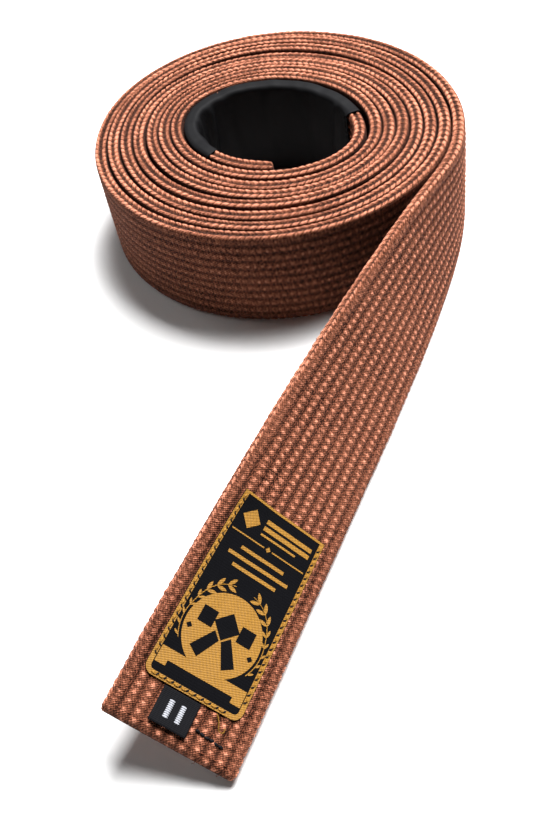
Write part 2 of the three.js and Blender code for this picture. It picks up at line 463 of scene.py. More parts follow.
@dataclass(frozen=True)
class WovenCotton:
    """Thick pearl-weave cotton: painted highlight on the nub tops and painted shade in the hollows between the
    yarns.
    """

    name: str = "brown_pearl_weave"
    # hollow is painted shade and crown is painted highlight; body and fade are the cloth's own colours
    hollow_shade: Colour = (0.022, 0.006, 0.003)
    body: Colour = (0.235, 0.078, 0.041)
    crown_highlight: Colour = (0.75, 0.3, 0.185)
    fade: Colour = (0.31, 0.11, 0.06)
    yarn_pitch: float = 0.62
    twill_turn: float = 0.62
    weft_turn: float = -0.95
    unevenness: float = 1.8

    def make(self) -> bpy.types.Material:
        """Builds the material from the mesh's relief, which also carries painted shade and highlight, and its
        UV map.

        Returns:
            The material.
        """
        sheet = NodeSheet(self.name)
        relief = sheet.add("Attribute", attribute_name="relief").outputs["Fac"]
        uv, here = sheet.place("UV"), sheet.place()
        twill = sheet.waves(uv, self.twill_turn, wave_scale(self.yarn_pitch), self.unevenness)
        weft = sheet.waves(uv, self.weft_turn, wave_scale(1.3 * self.yarn_pitch), self.unevenness)
        yarns = sheet.maths("MULTIPLY", sheet.maths("ADD", twill, weft), 0.5)
        speckle = sheet.noise(here, 2300, 2)
        flecks = sheet.noise(here, 900, 2)
        patches = sheet.noise(here, 34, 3)
        depth = relief
        for detail, weight in ((yarns, 0.36), (speckle, 0.8), (flecks, 0.8)):
            depth = sheet.maths("MULTIPLY_ADD", sheet.maths("SUBTRACT", detail, 0.5), weight, depth)
        low = sheet.maths("DIVIDE", sheet.maths("SUBTRACT", depth, 0.07), 0.41, clamp=True)
        high = sheet.maths("DIVIDE", sheet.maths("SUBTRACT", depth, 0.48), 0.54, clamp=True)
        # painted shade and highlight: low relief runs to the near-black hollow colour, high relief to the pale
        # crown colour
        colour = sheet.blend(low, rgba(self.hollow_shade), rgba(self.body))
        colour = sheet.blend(high, colour, rgba(self.crown_highlight))
        worn = sheet.maths("MULTIPLY", sheet.maths("SUBTRACT", patches, 0.42, clamp=True), 1.2, clamp=True)
        colour = sheet.blend(sheet.maths("MULTIPLY", worn, 0.5), colour, rgba(self.fade))
        height = sheet.maths("ADD", yarns, sheet.maths("MULTIPLY", speckle, 0.7))
        sheet.bump(height, 0.0003)
        return sheet.finish(colour, 0.88, sheen=0.03, sheen_roughness=0.45, specular=0.08)


@dataclass(frozen=True)
class Satin:
    """Smooth woven satin: fine ribs, a soft gloss and a little dust."""

    name: str
    dark: Colour
    light: Colour
    rib_pitch: float
    rib_turn: float
    roughness: float
    relief: float
    specular: float = 0.5
    unevenness: float = 0.3

    def make(self) -> bpy.types.Material:
        """Builds the material on the piece's UV map.

        Returns:
            The material.
        """
        sheet = NodeSheet(self.name)
        uv, here = sheet.place("UV"), sheet.place()
        ribs = sheet.waves(uv, self.rib_turn, wave_scale(self.rib_pitch), self.unevenness)
        cross = sheet.waves(uv, self.rib_turn + 1.57, wave_scale(2.1 * self.rib_pitch), self.unevenness)
        speckle = sheet.noise(here, 1500, 2)
        weave = sheet.maths("ADD", sheet.maths("MULTIPLY", ribs, 0.6), sheet.maths("MULTIPLY", cross, 0.25))
        dust = sheet.maths("MULTIPLY", speckle, 0.5)
        tone = sheet.maths("ADD", sheet.maths("MULTIPLY", weave, 0.7), dust, clamp=True)
        colour = sheet.blend(tone, rgba(self.dark), rgba(self.light))
        rough = sheet.maths("ADD", self.roughness, sheet.maths("MULTIPLY", speckle, 0.15))
        sheet.bump(weave, self.relief)
        return sheet.finish(colour, rough, specular=self.specular)


@dataclass(frozen=True)
class Thread:
    """Twisted sewing thread."""

    name: str
    dark: Colour
    light: Colour
    twist: float = 1900.0 / 6
    roughness: float = 0.6

    def make(self) -> bpy.types.Material:
        """Builds the material on object coordinates.

        Returns:
            The material.
        """
        sheet = NodeSheet(self.name)
        here = sheet.place()
        twist = sheet.maths("MULTIPLY", sheet.waves(here, 0.7, self.twist, 1.5), 0.6)
        fuzz = sheet.maths("MULTIPLY", sheet.noise(here, 3000, 2), 0.4)
        tone = sheet.maths("ADD", twist, fuzz, clamp=True)
        sheet.bump(tone, 0.00008)
        colour = sheet.blend(tone, rgba(self.dark), rgba(self.light))
        return sheet.finish(colour, self.roughness, specular=0.1)


@dataclass(frozen=True)
class Wadding:
    """Undyed cotton padding, seen only if the belt is taken apart."""

    name: str = "cotton_wadding"
    dark: Colour = (0.42, 0.35, 0.25)
    light: Colour = (0.72, 0.66, 0.55)

    def make(self) -> bpy.types.Material:
        """Builds the material on object coordinates.

        Returns:
            The material.
        """
        sheet = NodeSheet(self.name)
        tufts = sheet.noise(sheet.place(), 900, 5)
        sheet.bump(tufts, 0.0004)
        return sheet.finish(sheet.blend(tufts, rgba(self.dark), rgba(self.light)), 0.95, sheen=0.3)


@dataclass(frozen=True)
class Paper:
    """The pale floor."""

    name: str = "pale_floor"
    colour: Colour = (0.9, 0.9, 0.9)

    def make(self) -> bpy.types.Material:
        """Builds the material.

        Returns:
            The material.
        """
        sheet = NodeSheet(self.name)
        grain = sheet.noise(sheet.place(), 300, 2)
        tone = sheet.blend(grain, rgba(self.colour), rgba(tuple(0.98 * c for c in self.colour)))
        return sheet.finish(tone, 0.9, specular=0.1)


class Finish(Enum):
    """Every finish on the belt, with the record's slot that it belongs to."""

    COVER = ("brown_cover", WovenCotton())
    CORE = ("core", Wadding())
    BROWN_THREAD = ("brown_thread", Thread("brown_thread", (0.04, 0.011, 0.005), (0.2, 0.06, 0.03)))
    SLEEVE = ("black_sleeve", Satin(
        "black_satin", dark=(0.0012, 0.0012, 0.0016), light=(0.006, 0.006, 0.0072), rib_pitch=0.45,
        rib_turn=0.0, roughness=0.6, relief=0.00003, specular=0.12))
    BLACK_THREAD = ("black_thread", Thread("black_thread", (0.002, 0.002, 0.003), (0.009, 0.009, 0.011)))
    LABEL = ("label_weave", Satin(
        "label_ground", dark=(0.001, 0.001, 0.0015), light=(0.005, 0.005, 0.0065), rib_pitch=0.42,
        rib_turn=1.57, roughness=0.75, relief=0.00006, specular=0.05))
    GOLD = ("gold_thread", Satin(
        "gold_weave", dark=(0.13, 0.055, 0.005), light=(0.44, 0.215, 0.024), rib_pitch=0.5,
        rib_turn=0.6, roughness=0.5, relief=0.00012, specular=0.25))
    RIBBON = ("tab_ribbon", Satin(
        "tab_ribbon", dark=(0.002, 0.002, 0.003), light=(0.01, 0.01, 0.012), rib_pitch=0.5,
        rib_turn=0.0, roughness=0.7, relief=0.00007, specular=0.08))
    WHITE = ("white_thread", Satin(
        "white_weave", dark=(0.25, 0.26, 0.29), light=(0.55, 0.56, 0.6), rib_pitch=0.45,
        rib_turn=0.8, roughness=0.7, relief=0.00009, specular=0.2))


class Wardrobe:
    """Makes each finish once and puts it on pieces."""

    def __init__(self) -> None:
        """Starts with no finish made."""
        self._made: dict[Finish, bpy.types.Material] = {}

    def dress(self, piece: bpy.types.Object, finish: Finish) -> None:
        """Gives a piece its finish.

        Args:
            piece: The piece.
            finish: Its finish.
        """
        if finish not in self._made:
            self._made[finish] = finish.value[1].make()
        piece.data.materials.clear()
        piece.data.materials.append(self._made[finish])


WARDROBE = Wardrobe()


# ---------------------------------------------------------------- shaping pieces


def to_object(bm: bmesh.types.BMesh, name: str) -> bpy.types.Object:
    """Turns a bmesh into an object at the origin, with smooth faces.

    Args:
        bm: The shape. It is freed.
        name: The object's name.

    Returns:
        The object, in the scene.
    """
    for face in bm.faces:
        face.smooth = True
    mesh = bpy.data.meshes.new(name)
    bm.to_mesh(mesh)
    bm.free()
    piece = bpy.data.objects.new(name, mesh)
    bpy.context.scene.collection.objects.link(piece)
    return piece


def coordinates(piece: bpy.types.Object) -> Array:
    """A piece's vertices, as rows.

    Args:
        piece: The piece.

    Returns:
        Rows of x, y and z.
    """
    flat = np.empty(3 * len(piece.data.vertices))
    piece.data.vertices.foreach_get("co", flat)
    return flat.reshape(-1, 3)


def place_vertices(piece: bpy.types.Object, rows: Array) -> None:
    """Moves a piece's vertices to new rows."""
    piece.data.vertices.foreach_set("co", rows.astype(np.float32).ravel())
    piece.data.update()


def map_cloth(piece: bpy.types.Object, u: Array, v: Array) -> None:
    """Gives a piece a UV map from values in millimetres at each vertex.

    Args:
        piece: The piece.
        u: Each vertex's first value.
        v: Each vertex's second value.
    """
    layer = piece.data.uv_layers.new(name="cloth")
    loops = np.empty(len(piece.data.loops), dtype=np.int64)
    piece.data.loops.foreach_get("vertex_index", loops)
    pairs = np.stack([u[loops], v[loops]], axis=1) * UV_PER_MM
    layer.data.foreach_set("uv", pairs.astype(np.float32).ravel())


def lay_flat_piece(bm: bmesh.types.BMesh, name: str, finish: Finish, ripple: float = 0.0) -> bpy.types.Object:
    """Finishes a piece that was shaped flat, and lays it on the belt.

    Args:
        bm: The shape, in the belt's own coordinates, in millimetres.
        name: The piece's name.
        finish: Its finish.
        ripple: How far it rises and falls over the weave underneath.

    Returns:
        The piece.
    """
    piece = to_object(bm, name)
    rows = coordinates(piece)
    map_cloth(piece, rows[:, 0], rows[:, 1])
    if ripple:
        rows[:, 2] += ripple * (drift(rows[:, 0], 7.3, 1.0) + drift(rows[:, 1], 5.9, 2.0))
    place_vertices(piece, PATH.lay(rows))
    close_up(piece)
    WARDROBE.dress(piece, finish)
    return piece


def close_up(piece: bpy.types.Object, cap: bool = False) -> None:
    """Merges doubles, closes open ends if asked, and turns faces outwards.

    Args:
        piece: The piece.
        cap: Whether its open ends are closed.
    """
    bm = bmesh.new()
    bm.from_mesh(piece.data)
    bmesh.ops.remove_doubles(bm, verts=bm.verts, dist=1e-7)
    if cap:
        bmesh.ops.holes_fill(bm, edges=[e for e in bm.edges if e.is_boundary], sides=0)
    bmesh.ops.recalc_face_normals(bm, faces=bm.faces)
    for face in bm.faces:
        face.smooth = True
    bm.to_mesh(piece.data)
    bm.free()


def grid(columns: int, rows: int) -> tuple[bmesh.types.BMesh, Array, Array]:
    """A flat grid, and the column and row of each vertex, from 0 to 1.

    Args:
        columns: How many faces lie along it.
        rows: How many faces lie across it.

    Returns:
        The grid, one unit wide and long, with the column and the row of each vertex.
    """
    bm = bmesh.new()
    bmesh.ops.create_grid(bm, x_segments=columns, y_segments=rows, size=0.5)
    bm.verts.ensure_lookup_table()
    corners = np.array([v.co[:2] for v in bm.verts])
    return bm, corners[:, 0] + 0.5, corners[:, 1] + 0.5


def join(bm: bmesh.types.BMesh, part: bmesh.types.BMesh) -> None:
    """Adds a finished part to a bmesh, and frees the part.

    Args:
        bm: What it is added to.
        part: What is added. It is freed.
    """
    mesh = bpy.data.meshes.new("part")
    part.to_mesh(mesh)
    part.free()
    bm.from_mesh(mesh)
    bpy.data.meshes.remove(mesh)


@lru_cache(maxsize=None)
def plump_thread(sides: int) -> bpy.types.Mesh:
    """The shape that every stitch is a copy of: a round body, one unit long and thick, along X.

    Args:
        sides: How many sides it has.

    Returns:
        Its mesh, made once for each number of sides.
    """
    bm = bmesh.new()
    lying = Matrix.Rotation(math.pi / 2, 4, "Y")
    bmesh.ops.create_uvsphere(bm, u_segments=sides, v_segments=5, radius=0.5, matrix=lying)
    mesh = bpy.data.meshes.new("stitch")
    bm.to_mesh(mesh)
    bm.free()
    return mesh


def stitch(bm: bmesh.types.BMesh, place: Vector, length: float, thickness: float, turn: float = 0.0,
           sides: int = 6) -> None:
    """Adds one stitch: a short plump thread.

    Args:
        bm: What it is added to.
        place: Its middle.
        length: Its length, along X before it is turned.
        thickness: Its thickness.
        turn: Its turn about Z.
        sides: How many sides it has.
    """
    copy = plump_thread(sides).copy()
    size = Matrix.Diagonal((length, thickness, thickness, 1))
    copy.transform(Matrix.Translation(place) @ Matrix.Rotation(turn, 4, "Z") @ size)
    bm.from_mesh(copy)
    bpy.data.meshes.remove(copy)


def slab(bm: bmesh.types.BMesh, x: tuple[float, float], y: tuple[float, float], z: tuple[float, float],
         fineness: float = 2.5) -> None:
    """Adds a thin block, cut finely enough to follow the belt.

    Args:
        bm: What it is added to.
        x: Its ends along the belt.
        y: Its ends across the belt.
        z: Its lower and upper faces.
        fineness: The longest side of a face.
    """
    size = Vector((x[1] - x[0], y[1] - y[0], 1))
    cells = [max(1, math.ceil(length / fineness)) for length in size[:2]]
    part = bmesh.new()
    matrix = Matrix.Translation((sum(x) / 2, sum(y) / 2, z[0])) @ Matrix.Diagonal((*size, 1))
    bmesh.ops.create_grid(part, x_segments=cells[0], y_segments=cells[1], size=0.5, matrix=matrix)
    raise_faces(part, z[1] - z[0])
    join(bm, part)


def raise_faces(bm: bmesh.types.BMesh, height: float) -> None:
    """Turns a flat shape into a plate, by extruding all its faces upwards.

    Args:
        bm: The flat shape.
        height: How far they are raised.
    """
    made = bmesh.ops.extrude_face_region(bm, geom=bm.faces[:])
    raised = [g for g in made["geom"] if isinstance(g, bmesh.types.BMVert)]
    bmesh.ops.translate(bm, verts=raised, vec=(0, 0, height))


def outline_slab(bm: bmesh.types.BMesh, corners: list[tuple[float, float]], z: tuple[float, float],
                 fineness: float = 1.6) -> None:
    """Adds a thin plate of any outline, by raising a face drawn through its corners.

    Args:
        bm: What it is added to.
        corners: Its corners, along and across the belt.
        z: Its lower and upper faces.
        fineness: How far apart the cuts lie that let it follow the belt.
    """
    part = bmesh.new()
    part.faces.new([part.verts.new((x, y, z[0])) for x, y in corners])
    for axis in (0, 1):
        reach = [corner[axis] for corner in corners]
        normal = (1 - axis, axis, 0)
        for i in range(1, math.ceil((max(reach) - min(reach)) / fineness)):
            cut = min(reach) + i * fineness
            bmesh.ops.bisect_plane(part, geom=part.verts[:] + part.edges[:] + part.faces[:], dist=1e-5,
                                   plane_co=(cut * normal[0], cut * normal[1], 0), plane_no=normal)
    raise_faces(part, z[1] - z[0])
    join(bm, part)


def disc(bm: bmesh.types.BMesh, x: float, y: float, radius: float, z: tuple[float, float], sides: int = 64,
         rings: int = 8) -> None:
    """Adds a thin round plate, or one with fewer sides, by spinning a radius.

    Args:
        bm: What it is added to.
        x: Its middle, along the belt.
        y: Its middle, across the belt.
        radius: Its radius.
        z: Its lower and upper faces.
        sides: How many sides it has.
        rings: How many faces lie along a radius.
    """
    part = bmesh.new()
    line = [part.verts.new((radius * i / rings, 0, 0)) for i in range(rings + 1)]
    edges = [part.edges.new(pair) for pair in zip(line, line[1:])]
    bmesh.ops.spin(part, geom=[*line, *edges], cent=(0, 0, 0), axis=(0, 0, 1), angle=2 * math.pi, steps=sides,
                   use_merge=True)
    bmesh.ops.remove_doubles(part, verts=part.verts, dist=1e-4)
    bmesh.ops.translate(part, verts=part.verts, vec=(x, y, z[0]))
    raise_faces(part, z[1] - z[0])
    join(bm, part)


# ---------------------------------------------------------------- the woven cover


@dataclass(frozen=True)
class Weave:
    """The pearl weave's relief, in millimetres."""

    columns: int = 11
    pitch: float = 2.8
    nub: float = 0.5
    nub_long: float = 0.66
    nub_wide: float = 0.76
    beside: float = 0.45
    fine: float = 0.12
    fine_pitch: float = 1.25
    groove: float = 0.5
    groove_wide: float = 0.45
    bead: float = 0.58
    bead_pitch: float = 3.1
    bead_fullness: float = 1.9
    bead_sunk: float = 0.17
    strand: float = 0.1

    def face(self, along: Array, across: Array, share: float) -> Array:
        """Relief on a face of the belt.

        Args:
            along: Length along the belt.
            across: Distance across it.
            share: How far the nubs stand out, from 0 to 1.

        Returns:
            Height above the cloth's middle.
        """
        width = PATH.width / self.columns
        column = np.floor(across / width)
        inside = (across / width - column - 0.5) * width
        shift = 0.5 * np.mod(column, 2) + 0.09 * np.sin(column * 2.4)
        beat = along / self.pitch + shift + 0.05 * drift(along, 37.0, 1.0)
        near = (beat - np.round(beat)) * self.pitch
        which = np.round(beat)
        uneven = 0.86 + 0.14 * np.sin(which * 12.9898 + column * 78.233)
        side = 0.22 * np.sin(which * 4.7 + column * 1.3)
        spread = ((inside - side) / self.nub_wide) ** 2 + (near / self.nub_long) ** 2
        beside = np.where((column < 1) | (column > self.columns - 2), self.beside, 1.0)
        nubs = self.nub * share * uneven * beside * np.exp(-(spread ** 1.5))
        ripple = np.sin(2 * math.pi * along / self.fine_pitch + math.pi * across / 0.7)
        ripple = ripple * np.sin(2 * math.pi * across / 1.35)
        seam = np.exp(-(((np.abs(inside) - width / 2) / self.groove_wide) ** 2))
        pull = 0.62 + 0.28 * np.cos(2 * math.pi * (along / self.pitch + 0.25))
        pull = pull + 0.3 * drift(along, 29.0, column)
        return nubs + self.fine * ripple * (1 - seam) - self.groove * seam * pull

    def edge(self, along: Array, angle: Array, seed: float) -> Array:
        """Relief on one of the rounded edges, like a braided cord.

        Args:
            along: Length along the belt.
            angle: Angle round the edge, from the face.
            seed: Sets one edge apart from another.

        Returns:
            Height above the cloth's middle.
        """
        wander = 1.35 + 0.55 * drift(along, 83.0, seed)
        slant = 0.95 * (angle - wander)
        beat = (along + slant) / self.bead_pitch + 0.04 * drift(along, 31.0, seed)
        near = (beat - np.round(beat)) * 2
        uneven = 0.85 + 0.15 * np.sin(np.round(beat) * 5.13 + seed)
        strength = 0.42 + 0.58 * smooth(0.62 + 0.75 * drift(along, 140.0, seed + 3.0))
        bead = (1 - np.abs(near) ** self.bead_fullness) * np.exp(-((angle - wander) / 0.95) ** 2)
        fine = self.strand * np.sin(2 * math.pi * (along / 1.55 + angle / 1.5))
        return self.bead * uneven * strength * bead + fine - self.bead_sunk


WEAVE = Weave()


class Side(Enum):
    """Which faces of a stretch of belt are woven in full."""

    FRONT = "front"
    BACK = "back"
    BOTH = "both"
    NEITHER = "neither"


@dataclass(frozen=True)
class Section:
    """The belt's outline in cross-section: two plies, each folded over at both edges."""

    fold: float = 1.3
    fold_angle: float = math.radians(134)
    fold_points: int = 9
    fine_step: float = 0.45
    plain_points: int = 5

    def _face(self, fine: bool) -> Array:
        """Places across a face, from the upper edge to the lower one.

        Args:
            fine: Whether the face is woven in full.

        Returns:
            Distances across the belt.
        """
        high, low = PATH.width - self.fold, self.fold
        count = int((high - low) / self.fine_step) if fine else self.plain_points
        return np.linspace(high, low, count + 1)[1:-1]

    def ply(self, fine: bool) -> Array:
        """One ply's outline, from its fold at the upper edge to its fold at the lower edge.

        Args:
            fine: Whether its face is woven in full.

        Returns:
            Rows of across, out, angle round the fold, and edge: 1 at the top, -1 below and 0 between.
        """
        angles = np.linspace(self.fold_angle, 0, self.fold_points)
        upper = np.stack([PATH.width - self.fold + self.fold * np.sin(angles),
                          self.fold + self.fold * np.cos(angles), angles, np.ones_like(angles)], axis=1)
        across = self._face(fine)
        face = np.stack([across, np.full_like(across, 2 * self.fold), 0 * across, 0 * across], axis=1)
        lower = upper[::-1].copy()
        lower[:, 0] = PATH.width - lower[:, 0]
        lower[:, 3] = -1
        return np.concatenate([upper, face, lower])

    def outline(self, side: Side) -> Array:
        """Both plies, closed on itself.

        Args:
            side: Which faces are woven in full.

        Returns:
            Rows as in ply(), with a fifth column that is 1 on the front ply and -1 on the back one.
        """
        front = self.ply(side in (Side.FRONT, Side.BOTH))
        back = self.ply(side in (Side.BACK, Side.BOTH))[::-1].copy()
        back[:, 1] *= -1
        front = np.column_stack([front, np.ones(len(front))])
        back = np.column_stack([back, -np.ones(len(back))])
        return np.concatenate([front, back, front[:1]])


@dataclass
class CoverStretch:
    """One stretch of the belt's woven cover, both plies and their folded edges."""

    name: str
    start: float
    stop: float
    side: Side
    step: float = 0.46
    rounded_start: bool = False
    rounded_stop: bool = False
    end_round: float = 2.3
    corner_round: float = 1.6
    nubs: float = 1.0
    buried_shade: float = 0.6
    seam_shade: float = 0.3
    face_shade: float = 0.14
    # painted highlight: how much paler the rounded edges are made
    edge_highlight: float = 0.12
    back_shift: float = 1.3
    hidden_depth: float = -0.1
    lowest: float = -0.3
    highest: float = 0.36
    back_girth: float = 60.0
    section: Section = Section()

    def build(self) -> bpy.types.Object:
        """Builds the stretch, in place.

        Returns:
            The piece.
        """
        outline = self.section.outline(self.side)
        columns = int((self.stop - self.start) / self.step)
        bm, u, v = grid(columns, len(outline) - 1)
        along = self.start + u * (self.stop - self.start)
        index = np.rint(v * (len(outline) - 1)).astype(int)
        across, out, angle, edge, ply = outline[index].T
        seeds = 1.7 * edge + 2.9 * ply
        face = WEAVE.face(along + self.back_shift * (ply < 0), across, self.nubs)
        rim = WEAVE.edge(along, angle, seeds)
        turned = np.where(edge != 0, smooth((angle - 0.35) / 0.7), 0.0)
        height = face * (1 - turned) + rim * turned
        fine = {Side.BOTH: ply != 0, Side.FRONT: ply > 0, Side.BACK: ply < 0,
                Side.NEITHER: ply > 1}[self.side]
        hidden = ~fine & (edge == 0)
        height = np.where(hidden, self.hidden_depth, height)
        push_across = np.sin(angle) * edge
        push_out = np.cos(angle) * ply
        squeeze, inset = self._ends(along)
        middle = PATH.width / 2
        across = middle + (across + height * push_across - middle) * inset
        out = (out + height * push_out) * squeeze
        piece = to_object(bm, self.name)
        # painted shade: darker flanks on buried plies, a darker seam where the plies meet, and faces darker
        # than the edges
        buried = smooth((0.95 - angle) / 0.7) * (edge != 0) * ~fine
        seam = smooth((angle - 1.7) / 0.5) * (edge != 0)
        shade = self.buried_shade * buried + self.seam_shade * seam + self.face_shade * (1 - turned)
        # painted highlight on the rounded edges
        shade = shade - self.edge_highlight * turned
        relief = np.clip((height - self.lowest) / (self.highest - self.lowest) - shade, 0, 1)
        # the relief attribute carries the weave's height together with this painted shade and highlight
        layer = piece.data.attributes.new("relief", "FLOAT", "POINT")
        layer.data.foreach_set("value", relief.astype(np.float32))
        girth = np.where(edge > 0, PATH.width + angle * self.section.fold, across)
        girth = np.where(edge < 0, -angle * self.section.fold, girth)
        map_cloth(piece, along, girth + self.back_girth * (ply < 0))
        place_vertices(piece, PATH.lay(np.stack([along, across, out], axis=1)))
        close_up(piece, cap=True)
        WARDROBE.dress(piece, Finish.COVER)
        return piece

    def _ends(self, along: Array) -> tuple[Array, Array]:
        """How the thickness and the width draw in at a folded end, from 0 to 1.

        Args:
            along: Lengths along the belt.

        Returns:
            What is left of the thickness, and of the width.
        """
        squeeze, inset = np.ones_like(along), np.ones_like(along)
        ends = ((self.rounded_start, along - self.start), (self.rounded_stop, self.stop - along))
        for rounded, distance in ends:
            if rounded:
                off = 1 - np.clip(distance / self.end_round, 0, 1)
                squeeze = squeeze * np.sqrt(np.clip(1 - 0.94 * off ** 2.4, 0, 1))
                corner = 1 - np.clip(distance / self.corner_round, 0, 1)
                inset = inset * (1 - 0.045 * corner ** 2.2)
        return squeeze, inset


@dataclass
class Cover:
    """The whole woven cover, in stretches that meet without a gap."""

    innermost: float = 1.02
    outer_wall: float = 1.03
    wall_nubs: float = 0.38
    # wall_shade is painted shade that darkens the outer wall's face
    wall_shade: float = 0.2
    tail_seam_shade: float = 0.05
    upper_tail: float = 72.0
    middle_tail: float = 172.0
    tail_step: float = 0.42
    swing_from: float = 3.0
    swing_to: float = 58.0
    lift_from: float = 103.0
    lift_to: float = 157.0

    def coil_stretches(self) -> Iterator[CoverStretch]:
        """The coil's stretches, from the inner end outwards.

        Returns:
            One stretch after another.
        """
        wall_start = PATH.turns - self.outer_wall
        first = PATH.length_at(self.innermost)
        yield CoverStretch("coil_cover_lap_1", 0.0, first, Side.BACK, rounded_start=True)
        cuts = [PATH.length_at(turn) for turn in (self.innermost, 2.0, 3.0, 4.0, 5.0, 6.0, wall_start)]
        for lap, (start, stop) in enumerate(zip(cuts, cuts[1:]), 2):
            yield CoverStretch(f"coil_cover_lap_{lap}", start, stop, Side.NEITHER)
        cuts = [cuts[-1], PATH.length_at(wall_start + self.outer_wall / 2), EXIT]
        for half, (start, stop) in enumerate(zip(cuts, cuts[1:]), 1):
            yield CoverStretch(f"coil_cover_outer_{half}", start, stop, Side.FRONT, nubs=self.wall_nubs,
                               face_shade=self.wall_shade)

    def build(self) -> None:
        """Builds every stretch; ties the coil's stretches to the coil and the free end's last stretch to its
        end.
        """
        for stretch in self.coil_stretches():
            piece = stretch.build()
            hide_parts("coil_cover_front", "coil_cover_back")
            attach(piece, "coil")
            log.info("%s: %d faces", piece.name, len(piece.data.polygons))
        for stretch, start, stop in self.tail_stretches():
            last = stretch is Stretch.END
            piece = CoverStretch(f"tail_cover_{stretch.value}", start, stop, Side.BOTH, self.tail_step,
                                 rounded_stop=last, seam_shade=self.tail_seam_shade).build()
            body = "end" if last else "tail"
            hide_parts(f"{body}_cover_front", f"{body}_cover_back")
            bend_with_tail(piece, stretch)
            log.info("%s: %d faces", piece.name, len(piece.data.polygons))

    def tail_stretches(self, end_inset: float = 0.0) -> Iterator[tuple["Stretch", float, float]]:
        """The free end's stretches with their ends, the last one shorter by an inset."""
        cuts = (EXIT, EXIT + self.upper_tail, EXIT + self.middle_tail, TIP - end_inset)
        yield from zip(Stretch, cuts, cuts[1:])


class Stretch(Enum):
    """The free end's three stretches."""

    UPPER = "upper"
    MIDDLE = "middle"
    END = "end"


COVER = Cover()


def bend_with_tail(piece: bpy.types.Object, stretch: Stretch) -> None:
    """Ties a piece of the free end's last stretch to the end; pieces of the upper and middle stretches only
    have their transforms baked.

    Args:
        piece: The piece.
        stretch: Where along the free end it lies.
    """
    middle = PATH.width / 2
    if stretch is Stretch.UPPER:
        start, end = (PATH.spot(EXIT + at, middle) for at in (COVER.swing_from, COVER.swing_to))
        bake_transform(piece)
    elif stretch is Stretch.MIDDLE:
        start, end = (PATH.spot(EXIT + at, middle) for at in (COVER.lift_from, COVER.lift_to))
        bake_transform(piece)
    else:
        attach(piece, "tail_end")


# ---------------------------------------------------------------- inside the belt


@dataclass
class Core:
    """The padding between the plies."""

    thickness: float = 1.5
    inset: float = 3.0
    end_inset: float = 4.0
    step: float = 2.5
    rows: int = 10

    def _strip(self, name: str, start: float, stop: float) -> bpy.types.Object:
        """One stretch of padding, laid along the belt.

        Args:
            name: The piece's name.
            start: Where it begins.
            stop: Where it ends.

        Returns:
            The piece.
        """
        bm = grid(int((stop - start) / self.step), self.rows)[0]
        bmesh.ops.solidify(bm, geom=bm.verts[:] + bm.edges[:] + bm.faces[:], thickness=self.thickness)
        bm.normal_update()
        piece = to_object(bm, name)
        rows = coordinates(piece)
        rows[:, 0] = start + (rows[:, 0] + 0.5) * (stop - start)
        rows[:, 1] = self.inset + (rows[:, 1] + 0.5) * (PATH.width - 2 * self.inset)
        rows[:, 2] -= rows[:, 2].mean()
        map_cloth(piece, rows[:, 0], rows[:, 1])
        place_vertices(piece, PATH.lay(rows))
        close_up(piece)
        WARDROBE.dress(piece, Finish.CORE)
        return piece

    def build(self) -> None:
        """Builds the coil's padding and the free end's three stretches."""
        coil = self._strip("coil_core_padding", self.end_inset, EXIT)
        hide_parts("coil_core")
        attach(coil, "coil")
        for stretch, start, stop in COVER.tail_stretches(self.end_inset):
            piece = self._strip(f"tail_core_{stretch.value}", start, stop)
            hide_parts("end_core" if stretch is Stretch.END else "tail_core")
            bend_with_tail(piece, stretch)
        log.info("core padding: 4 stretches")


# ---------------------------------------------------------------- sewing


